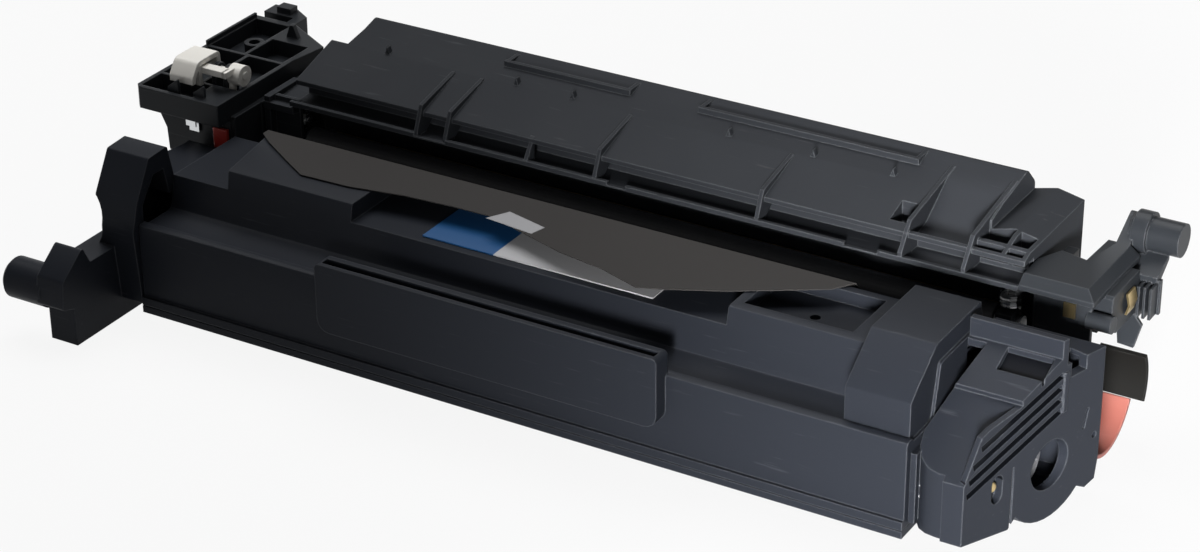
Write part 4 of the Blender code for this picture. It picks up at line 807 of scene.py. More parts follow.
def dull_paper():
    """Matt grey paper with a faint cloud and fine fibres."""
    material, tree, surface = new_finish(
        "dull_paper", {"Roughness": 0.78, "Specular IOR Level": 0.08}
    )
    place = add(tree, "TexCoord")
    fibre = add(tree, "TexNoise", {"Scale": 900, "Detail": 6})
    cloud = add(tree, "TexNoise", {"Scale": 14})
    tone = add(tree, "Mix", {"A": (*PAPER_DARK, 1), "B": (*PAPER_GREY, 1)}, data_type="RGBA")
    bump = add(tree, "Bump", {"Strength": 0.3, "Distance": 0.00003})
    link = tree.links.new
    for texture in (fibre, cloud):
        link(place.outputs["Object"], texture.inputs["Vector"])
    link(cloud.outputs["Fac"], tone.inputs["Factor"])
    link(tone.outputs["Result"], surface.inputs["Base Color"])
    link(fibre.outputs["Fac"], bump.inputs["Height"])
    link(bump.outputs[0], surface.inputs["Normal"])
    return material


def make_protective_sheet():
    """The loose sheet that lies over the hopper, hangs behind it and has an uneven front edge."""
    top = BLOCK_TOP_Z + GAP
    thick = SHEET_THICKNESS
    hang_y, hang_z = SHEET_HANG
    side_view = prism("paper_sheet", [
        (-0.034, top),
        (BLOCK_REAR_Y + 0.001, top),
        (hang_y, hang_z),
        (hang_y + 0.0002, hang_z + thick),
        (BLOCK_REAR_Y + 0.0012, top + thick),
        (-0.034, top + thick),
    ], SHEET_LEFT - 0.001, SHEET_RIGHT + 0.001)
    plan = prism("plan", [
        (SHEET_LEFT, 0.0190),
        (SHEET_LEFT, -0.0010),
        (-0.1085, -0.0050),
        (-0.0966, -0.0127),
        (-0.0866, -0.0189),
        (-0.0695, -0.0184),
        (-0.0521, -0.0153),
        (-0.0353, -0.0141),
        (-0.0233, -0.0139),
        (-0.0129, -0.0168),
        (0.0062, -0.0231),
        (0.0228, -0.0262),
        (0.0363, -0.0309),
        (0.0433, -0.0282),
        (0.0595, -0.0202),
        (0.0724, -0.0121),
        (0.0841, -0.0047),
        (SHEET_RIGHT, 0.0019),
        (SHEET_RIGHT - 0.003, 0.0190),
    ], 0.030, 0.055, "Z")
    return combine(side_view, [plan], "INTERSECT")


def make_pale_patch():
    """A plain pale field that is stuck on the sheet, clear of its front edge."""
    top = BLOCK_TOP_Z + GAP + SHEET_THICKNESS
    return prism("pale_patch", [
        (-0.0228, -0.0158),
        (-0.0189, -0.0088),
        (-0.0046, -0.0125),
        (-0.0060, -0.0178),
    ], top + 0.00001, top + 0.00007, "Z")


paper = dull_paper()
fitted(make_protective_sheet(), "protective_sheet", "frame", paper, 0)
patch = make_pale_patch()
patch.data.materials.append(moulded_plastic(
    "patch_pale", PATCH_PALE, PATCH_PALE, roughness=0.6, gloss=0.3, grain=0.0004, height=0.000005
))
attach(patch, "frame")


# The right end cap. It is a black moulding screwed over the developer's gears, with a yawed
# face that has four sloping slots, a round hole for the coupling and a sunk screw.
GEAR_WIDTH = 0.005
GEAR_START = 0.0022
CAP_YAW = math.radians(16)
CAP_CORNER_X = 0.145
CAP_DEPTH = 0.057
CAP_WALL = 0.0022
CAP_STRIP_LEFT = 0.1388
CAP_STEP = 0.0015
CAP_FRONT_Y = -0.0465
CAP_LIP_Y = -0.0095
CAP_LIP_Z = 0.054
CAP_HOLE_RADIUS = 0.0075
CAP_ROUND_RADIUS = COUPLING_Z
CAP_BROW = (-0.0245, 0.0405)
CAP_TOP_Z = 0.0485
CAP_BACK_Z = 0.0455
HOLLOW_LEFT = 0.1400
HOLLOW_RIGHT = 0.1535
HOLLOW_FRONT_Y = -0.0175
SLOT_WIDTH = 0.0018
SLOT_DEPTH = 0.0030
# A near-black finish for painted shade on the inner faces of the slots and the top hollow.
SLOT_PAINTED_SHADE = (0.004, 0.0045, 0.006)
SLOT_RISE = math.radians(16.7)
SLOT_PITCH = 0.00365
SLOT_END = 0.0390
SLOT_END_Z = 0.0325
SLOT_STARTS = (0.0014, 0.0022, 0.0036, 0.0066)
SCREW_ALONG = 0.0138
SCREW_Z = 0.0184
SCREW_SHANK_RADIUS = 0.0008
SCREW_SINK = 0.0026
GEAR_LEFT = HOPPER_RIGHT + GEAR_START
GEAR_RIGHT = GEAR_LEFT + GEAR_WIDTH


def cap_plan(inset):
    """The cap from above: a rounded front corner, a proud strip and the yawed face."""
    along = Vector((math.sin(CAP_YAW), math.cos(CAP_YAW)))
    corner = Vector((CAP_CORNER_X - inset, CAP_FRONT_Y + inset))
    far = corner + along * (CAP_DEPTH - 2 * inset)
    left = HOPPER_RIGHT + GAP - (0.001 if inset else 0)
    front = CAP_FRONT_Y + CAP_STEP + inset
    corner_points = [(left, front, 0.0084)]
    if inset:
        corner_points = [(left, front + 0.006), (left + 0.005, front)]
    return rounded([
        *corner_points,
        (CAP_STRIP_LEFT + inset, front),
        (CAP_STRIP_LEFT + inset, CAP_FRONT_Y + inset),
        tuple(corner),
        tuple(far),
        (left, far.y),
    ])


def cap_blank(name, inset):
    """The cap's outer form, or its inner one: its side view meets its plan, and its
    left side leans away from the hopper's bump."""
    outline = cap_plan(inset)
    left, rear = outline[-1]
    plan = prism(name + "_plan", outline, -0.001, CAP_LIP_Z + 0.001, "Z")
    lip = [] if inset else [
        (CAP_LIP_Y, CAP_LIP_Z),
        (CAP_LIP_Y + CAP_WALL, CAP_LIP_Z),
        (CAP_LIP_Y + CAP_WALL, 0.046),
    ]
    side = prism(name, [
        (CAP_FRONT_Y + inset, FLANGE_Z + inset),
        (CAP_FRONT_Y + inset, 0.025 - inset / 2),
        (CAP_BROW[0], CAP_BROW[1] - inset),
        (CAP_BROW[0] - 0.0005, CAP_BROW[1] + 0.0015 - inset),
        (CAP_LIP_Y, CAP_TOP_Z - inset),
        *lip,
        (rear, CAP_BACK_Z - inset),
        (rear, 0.011),
        (rear - 0.001, 0.0042 + inset),
        (rear - 0.005, 0.0030 + inset),
        *arc(COUPLING, CAP_ROUND_RADIUS - inset, -45, -140, 10),
        (-0.028, FLANGE_Z - 0.003 + inset),
    ], left, 0.170)
    lean = prism("lean", [
        (left - 0.010, 0.0325 - inset),
        (left, 0.0325 - inset),
        (left + 0.0085, 0.0560 - inset),
        (left + 0.0085, CAP_LIP_Z + 0.01),
        (left - 0.010, CAP_LIP_Z + 0.01),
    ], CAP_FRONT_Y - 0.01, CAP_LIP_Y - 0.001, "Y")
    return cut(combine(side, [plan], "INTERSECT"), lean)


def on_cap_face(obj, along, height):
    """Moves a piece from the YZ plane to the cap's yawed face."""
    corner = Vector((CAP_CORNER_X, CAP_FRONT_Y, height))
    way = Vector((math.sin(CAP_YAW), math.cos(CAP_YAW), 0))
    turn = Matrix.Rotation(-CAP_YAW, 4, "Z")
    obj.data.transform(Matrix.Translation(corner + way * along) @ turn)
    return obj


def slot_cutter(index, start):
    """A straight groove in the yawed face, rising towards the rear."""
    height = SLOT_END_Z + SLOT_PITCH * index - (SLOT_END - start) * math.tan(SLOT_RISE)
    length = (SLOT_END - start) / math.cos(SLOT_RISE)
    slot = box("slot", (-SLOT_DEPTH, 0, -SLOT_WIDTH / 2), (0.002, length, SLOT_WIDTH / 2))
    slot.data.transform(Matrix.Rotation(SLOT_RISE, 4, "X"))
    return on_cap_face(slot, start, height)


def slotted_plate():
    """The wall of the yawed face, which stands a little above the sloping front."""
    plate = prism("slotted_plate", [
        (0.0006, FLANGE_Z + 0.004),
        (0.0006, 0.0262),
        (0.0064, 0.0372),
        (0.0100, 0.0385),
        (0.0220, 0.0402),
        (0.0390, 0.0460),
        (0.0395, 0.0300),
    ], -CAP_WALL + 0.0004, -0.00005)
    return on_cap_face(plate, 0, 0)


def make_right_end_cap():
    """The hollow cap with its plate and rib joined on, and its holes and slots cut in."""
    cap = cut(cap_blank("end_cap_shell", 0), cap_blank("cap_room", CAP_WALL))
    rib = on_cap_face(box("rib", (-0.001, 0.0394, 0.0318), (0.0005, 0.0410, 0.0440)), 0, 0)
    cap = join(cap, slotted_plate(), rib)
    hole = rod("hole", CAP_HOLE_RADIUS, 0.140, 0.170, COUPLING)
    gear_top = GEAR_MODULE * (SLEEVE_TEETH / 2 + 1) + 0.001
    window = box(
        "window",
        (HOPPER_RIGHT - 0.001, SLEEVE_Y - 0.006, SLEEVE_Z - gear_top),
        (GEAR_RIGHT + 0.004, SLEEVE_Y + 0.006, SLEEVE_Z + gear_top),
    )
    top_hollow = prism("top_hollow", [
        (HOLLOW_FRONT_Y, 0.0434),
        (CAP_LIP_Y - 0.0006, 0.0466),
        (CAP_LIP_Y - 0.0006, 0.0500),
        (HOLLOW_FRONT_Y, 0.0500),
    ], HOLLOW_LEFT, HOLLOW_RIGHT)
    slit = prism("slit", [
        (0.0490, 0.0225),
        (0.0500, 0.0225),
        (0.0515, 0.0285),
        (0.0505, 0.0285),
    ], -0.004, 0.001)
    face_cutters = [
        box("notch", (-0.006, 0.0425, 0.0415), (0.002, 0.0490, 0.0480)),
        box("step", (-0.0006, 0.0198, 0.0035), (0.001, 0.0206, 0.0225)),
        slit,
        rod("side_hole", 0.001, -0.004, 0.001, (0.0545, 0.0187), sides=12),
    ]
    face_cutters = [on_cap_face(cutter, 0, 0) for cutter in face_cutters]
    cap = cut(cap, hole, window, top_hollow, *face_cutters)
    cap = cut(cap, *[slot_cutter(index, start) for index, start in enumerate(SLOT_STARTS)])
    tongue = box(
        "tongue",
        (HOPPER_RIGHT + 0.00005, CAP_FRONT_Y + 0.0028, FLANGE_Z + 0.0010),
        (GEAR_LEFT - 0.0003, -0.0364, 0.0290),
    )
    boss = rod("boss", 0.0044, -0.0085, -0.0005, (0, 0), sides=20)
    oval = prism("oval", [
        *arc((0, 0.0021), 0.0022, 0, 180),
        *arc((0, -0.0021), 0.0022, 180, 360),
    ], -SCREW_SINK, 0.001)
    shank_hole = rod("shank_hole", SCREW_SHANK_RADIUS + GAP, -0.0075, 0, (0, 0), sides=16)
    for piece in (boss, oval, shank_hole):
        on_cap_face(piece, SCREW_ALONG, SCREW_Z)
    return cut(join(cap, boss, tongue), oval, shank_hole)


def paint_shade_in_slots(cap):
    """The inner faces of the slots and of the hollow on top get a near-black finish, which is
    painted shade.
    """
    slot_painted_shade = moulded_plastic("slot_painted_shade", SLOT_PAINTED_SHADE, SLOT_PAINTED_SHADE, roughness=0.4, gloss=0.03)
    cap.data.materials.append(slot_painted_shade)
    for face in cap.data.polygons:
        x, y, z = face.center
        depth = (x - CAP_CORNER_X) * math.cos(CAP_YAW) - (y - CAP_FRONT_Y) * math.sin(CAP_YAW)
        in_slot = (
            x > 0.1425 and y < CAP_LIP_Y and -SLOT_DEPTH - 0.0004 < depth < -0.0002
            and 0.0195 < z < min(0.0455, 0.0262 + 0.6 * (y - CAP_FRONT_Y))
        )
        in_hollow = (
            HOLLOW_LEFT - 0.0005 < x < HOLLOW_RIGHT + 0.0005
            and HOLLOW_FRONT_Y - 0.0005 < y < CAP_LIP_Y - 0.0004
            and 0.0425 < z < 0.0440 + 0.35 * (y - HOLLOW_FRONT_Y) and face.normal.z < 0.98
        )
        if in_slot or in_hollow:
            face.material_index = 1


end_cap = fitted(make_right_end_cap(), "right_end_cap", "frame", shell_plastic)
# The slots and the top hollow get painted shade on their inner faces.
paint_shade_in_slots(end_cap)


# The waste toner box behind the drum. It is a black box with a sloping plate in front, a lip
# with fins over the charge roller, low rails on its top bend, and open bays at the right.
DRUM_CENTRE_X = 0.0025
CHARGE_LENGTH = 0.236
WASTE_BLACK = (0.022, 0.024, 0.028)
# The paler waste box colour for scuffs and edges; on the edges it is partly wear and partly a
# painted highlight.
WASTE_WORN_AND_HIGHLIT = (0.085, 0.090, 0.097)
TANK_LEFT = -0.1175
TANK_RIGHT = 0.1298
SHELF_LEFT = -0.1280
LIP_Y = 0.0185
LIP_Z = 0.0492
LIP_HEIGHT = 0.0015
TROUGH_BACK_Y = 0.0290
TROUGH_ROOF_Z = 0.0550
LIP_THICKNESS = 0.0013
PLATE_FRONT_Y = 0.0225
PLATE_FRONT_Z = 0.0565
PLATE_BACK_Y = 0.052
PLATE_BACK_Z = 0.0632
TANK_TOP_Z = 0.066
TANK_REAR_Y = 0.0645
TANK_WALL = 0.0025
TANK_CORNER_X = -0.1113
TANK_CORNER_Y = 0.0425
TICKS_X = (-0.0960, -0.0484, -0.0283, 0.0257, 0.0537, 0.0795)
TICK_Y = 0.0420
TICK_SIZE = 0.0024
BAY_LEFT = 0.0935
RAMP_Z = 0.0530
BAY_WALL_X = 0.1130
BAY_TOP_Z = 0.0605
BAY_END = 0.1222
BAY_DEPTH = 0.0055
LIP_GAPS = ((-0.0710, -0.0595), (-0.0023, 0.0040), (0.0760, 0.0866))
FINS_X = (-0.0705, -0.0600, -0.0070, 0.0475)
DIVIDER_X = -0.0310
RAILS = ((-0.0575, -0.0125), (0.0110, 0.0840))
RIB = 0.0013
BLADE_ANGLE = math.radians(52)
BLADE_WAY = (0.35, 0.94)
SHIELD_RADIUS = DRUM_Z
SHIELD_END = 335
BLADE_THICKNESS = 0.0012
STRIP_THICKNESS = 0.0016
STRIP_LENGTH = 0.0075
BRACKET_DEPTH = 0.003
DRUM = (DRUM_Y, DRUM_Z)
CHARGE_LEFT = DRUM_CENTRE_X - CHARGE_LENGTH / 2
CHARGE_RIGHT = DRUM_CENTRE_X + CHARGE_LENGTH / 2
UNDERSIDE_FRONT = (0.0215, 0.0475)
UNDERSIDE_BACK = (0.0330, 0.0435)


def blade_frame():
    """The blade's free end, the way it leans and the way across it."""
    reach = DRUM_RADIUS + NIP_GAP
    touch = Vector(DRUM) + reach * Vector((math.cos(BLADE_ANGLE), math.sin(BLADE_ANGLE)))
    way = Vector(BLADE_WAY).normalized()
    return touch, way, Vector((way.y, -way.x))


def blade_slot():
    """The outline of the slot that holds the blade's bracket, rear edge first."""
    touch, way, across = blade_frame()
    foot = touch + way * STRIP_LENGTH
    top = foot + way * (BRACKET_DEPTH + 2 * GAP)
    rear = across * (STRIP_THICKNESS + BLADE_THICKNESS + GAP)
    front = across * (GAP + 0.0002)
    return [tuple(foot + rear), tuple(top + rear), tuple(top - front), tuple(foot - front)]


def tank_outline():
    """The box from the side: lip, trough, sloping plate, flat back and the drum's round."""
    room = SHIELD_RADIUS + 0.0004
    slot = blade_slot()
    return rounded([
        (LIP_Y, LIP_Z),
        (LIP_Y, LIP_Z + LIP_HEIGHT),
        (LIP_Y + LIP_THICKNESS, LIP_Z + LIP_HEIGHT),
        (LIP_Y + LIP_THICKNESS, LIP_Z + 0.0003),
        (TROUGH_BACK_Y, LIP_Z + 0.0003),
        (TROUGH_BACK_Y, TROUGH_ROOF_Z),
        (PLATE_FRONT_Y, TROUGH_ROOF_Z),
        (PLATE_FRONT_Y, PLATE_FRONT_Z),
        (PLATE_BACK_Y - 0.010, PLATE_FRONT_Z + 0.0060),
        (PLATE_BACK_Y, PLATE_BACK_Z + 0.001),
        (TANK_REAR_Y - 0.006, TANK_TOP_Z, 0.002),
        (TANK_REAR_Y, TANK_TOP_Z - 0.006, 0.003),
        (TANK_REAR_Y, 0.022),
        (TANK_REAR_Y - 0.006, 0.013),
        (DRUM_Y + room + 0.0015, 0.0092),
        *arc(DRUM, room, SHIELD_END - 362, 38, 7),
        *slot,
        (slot[-1][0] - 0.0014, slot[-1][1]),
        (0.0352, 0.0385),
        UNDERSIDE_BACK,
        UNDERSIDE_FRONT,
    ])


def tank_room():
    """The space for the waste toner, from the side."""
    return [
        (0.0475, 0.026),
        (0.053, 0.0165),
        (0.0575, 0.0165),
        (TANK_REAR_Y - TANK_WALL, 0.023),
        (TANK_REAR_Y - TANK_WALL, 0.0585),
        (0.052, 0.0595),
        (0.038, 0.0555),
        (0.038, 0.0455),
        (0.045, 0.0400),
    ]


def plate_z(y):
    """The height of the waste box's sloping plate."""
    return PLATE_FRONT_Z + 0.0060 * (y - PLATE_FRONT_Y) / (PLATE_BACK_Y - 0.010 - PLATE_FRONT_Y)


def fin(name, x, length, height):
    """A triangular rib that bridges the lip's channel and runs out on the plate."""
    return prism(name, [
        (LIP_Y + 0.0004, LIP_Z + 0.0001),
        (LIP_Y + 0.0004, LIP_Z + LIP_HEIGHT - 0.0002),
        (PLATE_FRONT_Y, plate_z(PLATE_FRONT_Y) + height),
        (PLATE_FRONT_Y + length, plate_z(PLATE_FRONT_Y + length) + 0.0004),
        (PLATE_FRONT_Y + length, plate_z(PLATE_FRONT_Y + length) - 0.001),
        (PLATE_FRONT_Y + 0.001, LIP_Z + 0.0001),
    ], x - RIB / 2, x + RIB / 2)


def bay_wall(name, x):
    """A tall wall beside the open bays at the driven end."""
    return prism(name, [
        (LIP_Y + 0.0002, LIP_Z + 0.0005),
        (LIP_Y + 0.0002, LIP_Z + LIP_HEIGHT + 0.0012),
        (PLATE_FRONT_Y + 0.002, BAY_TOP_Z - 0.0008),
        (PLATE_BACK_Y + 0.001, BAY_TOP_Z + 0.0042),
        (PLATE_BACK_Y + 0.004, PLATE_BACK_Z),
        (PLATE_BACK_Y + 0.004, LIP_Z),
    ], x - RIB / 2, x + RIB / 2)


def rail(low, high):
    """A low wall along the top's bend whose ends turn back."""
    front = PLATE_BACK_Y - 0.0022
    foot = PLATE_FRONT_Z + 0.0046
    top = TANK_TOP_Z - 0.0003
    wall = box("rail", (low, front, foot), (high, front + RIB, top))
    ends = [
        box(
            "rail_end",
            (x, front + 0.0004, foot + 0.0002),
            (x + RIB, front + 0.0070, top - 0.0001),
        )
        for x in (low + 0.0002, high - RIB - 0.0002)
    ]
    return join(wall, *ends)


def tick(x):
    """A small upright triangle on the plate, just before its bend."""
    base = plate_z(TICK_Y) - 0.001
    return prism("tick", [
        (x - TICK_SIZE / 2, base),
        (x + TICK_SIZE / 2, base),
        (x, base + 0.001 + TICK_SIZE),
    ], TICK_Y, TICK_Y + 0.0020, "Y")


def bay_cutter(low, high, front_y, rear_y, depth):
    """An opening in the plate, as deep as given below the plate's front edge."""
    return box("bay", (low, front_y, PLATE_FRONT_Z - depth), (high, rear_y, PLATE_BACK_Z + 0.001))


def bays():
    """The openings in the plate, between the ribs of its right end."""
    clear = RIB / 2 - 0.0003
    front, back = PLATE_FRONT_Y + 0.0012, PLATE_FRONT_Y + 0.0037
    rear_row = (0.0275, 0.0345)
    return [
        bay_cutter(low, high, front_y, rear_y, depth)
        for low, high, front_y, rear_y, depth in (
            (
                BAY_LEFT - 0.0068, BAY_LEFT - RIB,
                PLATE_FRONT_Y + 0.0035, 0.0340, BAY_DEPTH - 0.002,
            ),
            (BAY_LEFT + clear, BAY_WALL_X - clear, front, back, BAY_DEPTH),
            (BAY_WALL_X + clear, BAY_END, front, back, BAY_DEPTH),
            (BAY_WALL_X + clear, BAY_END, *rear_row, BAY_DEPTH),
            (BAY_END + RIB, TANK_RIGHT - RIB, front, back, BAY_DEPTH),
            (BAY_END + RIB, TANK_RIGHT - RIB, *rear_row, BAY_DEPTH),
        )
    ]


def left_walls():
    """The low shelf that carries the box's left end, and the walls round it."""
    shelf = prism("shelf", [
        (LIP_Y + 0.0003, 0.0462),
        (LIP_Y + 0.0003, 0.0484),
        (PLATE_FRONT_Y + 0.0003, 0.0480),
        (TANK_CORNER_Y - 0.0003, 0.0492),
        (TANK_CORNER_Y - 0.0003, 0.0450),
        (0.0352, 0.0440),
    ], SHELF_LEFT, TANK_LEFT + 0.001)
    cheek = prism("cheek", [
        (LIP_Y + 0.0006, LIP_Z + 0.001),
        (LIP_Y + 0.0006, 0.0315),
        (0.0405, 0.0315),
        (TANK_CORNER_Y - 0.001, 0.0400),
        (TANK_CORNER_Y - 0.001, 0.0460),
        (0.0352, LIP_Z + 0.001),
    ], SHELF_LEFT + 0.0002, SHELF_LEFT + 0.0024)
    back_walls = [
        box("back_wall", low, high)
        for low, high in (
            ((SHELF_LEFT + 0.0020, 0.0405, 0.0320), (-0.1150, 0.0422, 0.0462)),
            ((-0.1160, 0.0418, 0.0385), (-0.1108, 0.0434, 0.0550)),
            ((SHELF_LEFT + 0.0018, 0.0430, 0.0215), (-0.1106, 0.0444, 0.0400)),
        )
    ]
    return [shelf, cheek, *back_walls]


def make_waste_housing():
    """The box with its room, corners and bays cut out, and its ribs and walls joined on."""
    tank = prism("waste_box", tank_outline(), TANK_LEFT, TANK_RIGHT)
    room = prism("waste_room", tank_room(), TANK_CORNER_X + TANK_WALL, BAY_WALL_X - RIB)
    mouth = prism("waste_mouth", [
        (0.0405, 0.0270),
        (0.0405, 0.0212),
        (0.056, 0.0220),
        (0.056, 0.0280),
    ], TANK_LEFT + 0.012, BAY_WALL_X - 0.005)
    corner = box(
        "tank_corner",
        (TANK_LEFT - 0.001, TANK_CORNER_Y, 0.010),
        (TANK_CORNER_X, TANK_REAR_Y + 0.001, TANK_TOP_Z + 0.001),
    )
    ramp = prism("ramp", [
        (0.0257, PLATE_FRONT_Z + 0.0060),
        (0.0257, RAMP_Z),
        (0.0345, RAMP_Z + 0.0020),
        (0.0405, plate_z(0.0405) - 0.0032),
        (0.0485, PLATE_BACK_Z + 0.0008),
        (0.0485, PLATE_BACK_Z + 0.0020),
    ], BAY_LEFT + 0.0002, BAY_WALL_X - 0.0002)
    lip_gaps = [
        box(
            "lip_gap",
            (low, LIP_Y - 0.001, LIP_Z + 0.0005),
            (high, LIP_Y + LIP_THICKNESS + 0.0002, LIP_Z + 0.006),
        )
        for low, high in LIP_GAPS
    ]
    low_corner = prism("low_corner", [
        (BAY_WALL_X + RIB, PLATE_FRONT_Z + 0.0012),
        (BAY_END - 0.0007, PLATE_FRONT_Z + 0.0030),
        (TANK_RIGHT + 0.001, PLATE_FRONT_Z + 0.0010),
        (TANK_RIGHT + 0.001, TANK_TOP_Z + 0.001),
        (BAY_WALL_X + RIB, TANK_TOP_Z + 0.001),
    ], LIP_Y, TANK_REAR_Y + 0.001, "Y")
    tank = cut(tank, room, mouth, low_corner, corner, ramp, *lip_gaps, *bays())
    fins = [fin("fin", x, 0.0185, 0.0022) for x in FINS_X]
    fins.append(fin("divider", DIVIDER_X, 0.001, -0.0012))
    walls = [bay_wall("bay_wall", BAY_LEFT), bay_wall("bay_wall", BAY_WALL_X)]
    rails = [rail(low, high) for low, high in RAILS]
    ticks = [tick(x) for x in TICKS_X]
    guides = [
        box("guide", (low, y, 0.0325), (high, y + 0.0014, LIP_Z + 0.0006))
        for low, high, y in (
            (SHELF_LEFT + 0.0006, CHARGE_LEFT - 0.0006, LIP_Y + 0.0035),
            (CHARGE_RIGHT + 0.0006, TANK_RIGHT - 0.0002, 0.0336),
        )
    ]
    return join(tank, *fins, *walls, *rails, *ticks, *left_walls(), *guides)


waste_plastic = moulded_plastic(
    "waste_plastic", WASTE_BLACK, WASTE_WORN_AND_HIGHLIT, roughness=0.68, gloss=0.08
)
fitted(make_waste_housing(), "waste_housing", "frame", waste_plastic)


# The end frames and the small carriers. They are moulded in a harder black plastic, which
# comes out of a polished tool, so it is a little glossier and blacker than the shells.
FRAME_BLACK = (0.017, 0.019, 0.022)
# The paler frame colour for scuffs and edges; on the edges it is partly wear and partly a painted
# highlight.
FRAME_WORN_AND_HIGHLIT = (0.060, 0.063, 0.068)
FRAME_EDGE = 0.0002
CARRIERS = (
    "drum_end_flange", "drum_drive_flange", "charge_bearing_left", "charge_bearing_right"
)
frame_plastic = moulded_plastic(
    "frame_plastic", FRAME_BLACK, FRAME_WORN_AND_HIGHLIT, roughness=0.36, gloss=0.10,
    grain=0.0006, height=0.00001,
)
for carrier in CARRIERS:
    dress(carrier, frame_plastic, FRAME_EDGE)


# The left end frame. It is an open tray with cross ribs that carries the drum's left end, the
# rocker's two lugs and the spring's post, and it is screwed to the waste box.
DRUM_SHAFT_RADIUS = 0.004
FRAME_THICKNESS = 0.0035
FRAME_LOBE = 0.0075
BRACKET_TOP_Z = 0.054
BRACKET_BOTTOM_Z = 0.0466
BRACKET_WALL = 0.0015
BRACKET_FLOOR = 0.002
BRACKET_RIB = 0.0012
LEFT_BRACKET_LEFT = -0.1625
LEFT_BRACKET_RIGHT = -0.1283
LEFT_BRACKET_FRONT_Y = -0.0015
LEFT_BRACKET_REAR_Y = 0.0525
BRACKET_TAIL_Y = 0.0735
LEVER_Y = 0.015
LEVER_Z = 0.0575
LEVER_LEFT = -0.1520
LEVER_RIGHT = -0.1316
LEVER_PIN_RADIUS = 0.0014
LEVER_HOOD_WIDTH = 0.009
KNUCKLE_WIDTH = 0.0046
LUG_THICKNESS = 0.0016
SKIRT_BOTTOM_Z = 0.031
STOP_WIDTH = 0.0046
KNUCKLE_LEFT = LEVER_RIGHT - KNUCKLE_WIDTH
TRAY_FLOOR_Z = BRACKET_BOTTOM_Z + BRACKET_FLOOR
TRAY_RIB_X = LEFT_BRACKET_LEFT + 0.0165
TRAY_RIB_Y = LEFT_BRACKET_FRONT_Y + 0.0360


def frame_lobe(name, low, high, front_y, top_z):
    """A side plate that hangs from a bracket and carries the drum's end."""
    return prism(name, [
        (front_y, top_z),
        (front_y, 0.036),
        *arc(DRUM, FRAME_LOBE, 150, 330, 12),
        (0.0455, 0.026),
        (0.047, top_z),
    ], low, high)


def tray_with_pockets():
    """The open tray: its outline from above, with five pockets between the ribs."""
    left, right = LEFT_BRACKET_LEFT, LEFT_BRACKET_RIGHT
    front, rear = LEFT_BRACKET_FRONT_Y, LEFT_BRACKET_REAR_Y
    tray = prism("left_frame", [
        (left, front + 0.0015),
        (left + 0.0015, front),
        (right - 0.0020, front),
        (right - 0.0022, LEVER_Y + 0.024),
        (right, rear),
        (right - 0.008, rear + 0.0045),
        (left + 0.0155, rear + 0.0105),
        (left + 0.0155, BRACKET_TAIL_Y - 0.004),
        (left + 0.009, BRACKET_TAIL_Y),
        (left, BRACKET_TAIL_Y),
    ], BRACKET_BOTTOM_Z, BRACKET_TOP_Z, "Z")
    inside = left + BRACKET_WALL
    first = front + 0.0127
    pockets = [
        box("pocket", (low_x, low_y, TRAY_FLOOR_Z), (high_x, high_y, BRACKET_TOP_Z + 0.001))
        for low_x, low_y, high_x, high_y in (
            (inside, front + BRACKET_WALL, right - 0.0128, first - BRACKET_RIB),
            (inside, first, TRAY_RIB_X, TRAY_RIB_Y),
            (TRAY_RIB_X + BRACKET_RIB, first, right - 0.0022 - BRACKET_WALL, TRAY_RIB_Y),
            (inside, TRAY_RIB_Y + BRACKET_RIB, TRAY_RIB_X - 0.0015, rear + 0.008),
            (TRAY_RIB_X - 0.0003, TRAY_RIB_Y + BRACKET_RIB, right - 0.0040, rear - 0.0030),
        )
    ]
    notch = box(
        "notch",
        (left - 0.001, BRACKET_TAIL_Y - 0.0105, BRACKET_TOP_Z - 0.0045),
        (left + 0.0120, BRACKET_TAIL_Y - 0.0065, BRACKET_TOP_Z + 0.001),
    )
    return cut(tray, *pockets, notch)


def tray_fittings():
    """The rocker's two lugs and two stops, and the wall, hook and spike of the tray."""
    left = LEFT_BRACKET_LEFT
    side_wall = box(
        "side_wall",
        (left + 0.0003, LEVER_Y + 0.020, BRACKET_TOP_Z - 0.001),
        (left + BRACKET_WALL - 0.0003, BRACKET_TAIL_Y - 0.012, BRACKET_TOP_Z + 0.0016),
    )
    hook = box(
        "hook",
        (left + 0.0045, BRACKET_TAIL_Y - 0.0055, BRACKET_TOP_Z - 0.001),
        (left + 0.0100, BRACKET_TAIL_Y - 0.0015, BRACKET_TOP_Z + 0.0022),
    )
    spike = prism("spike", [
        (TRAY_RIB_X + 0.0015, BRACKET_TOP_Z - 0.003),
        (TRAY_RIB_X + 0.0085, BRACKET_TOP_Z - 0.003),
        (TRAY_RIB_X + 0.0055, BRACKET_TOP_Z + 0.0045),
        (TRAY_RIB_X + 0.0042, BRACKET_TOP_Z + 0.0045),
    ], LEFT_BRACKET_REAR_Y + 0.0005, LEFT_BRACKET_REAR_Y + 0.0022, "Y")
    lugs = [
        prism("lug", [
            (LEVER_Y - 0.0033, TRAY_FLOOR_Z - 0.001),
            (LEVER_Y + 0.0033, TRAY_FLOOR_Z - 0.001),
            *arc((LEVER_Y, LEVER_Z), LEVER_PIN_RADIUS + 0.0013, 0, 180, 6),
        ], x, x + LUG_THICKNESS)
        for x in (LEVER_LEFT + LEVER_HOOD_WIDTH + 0.0005, KNUCKLE_LEFT - GAP - LUG_THICKNESS)
    ]
    stops = [
        prism("stop", [
            (x, TRAY_FLOOR_Z - 0.001),
            (x + STOP_WIDTH, TRAY_FLOOR_Z - 0.001),
            (x + STOP_WIDTH, LEVER_Z - 0.0010),
            (x + STOP_WIDTH - 0.0006, LEVER_Z + 0.0004),
            (x + 0.0006, LEVER_Z - 0.0022),
        ], 0.0008, 0.0022, "Y")
        for x in (LEVER_LEFT + 0.0002, LEVER_LEFT + 0.0102)
    ]
    return [side_wall, hook, spike, *stops, *lugs]


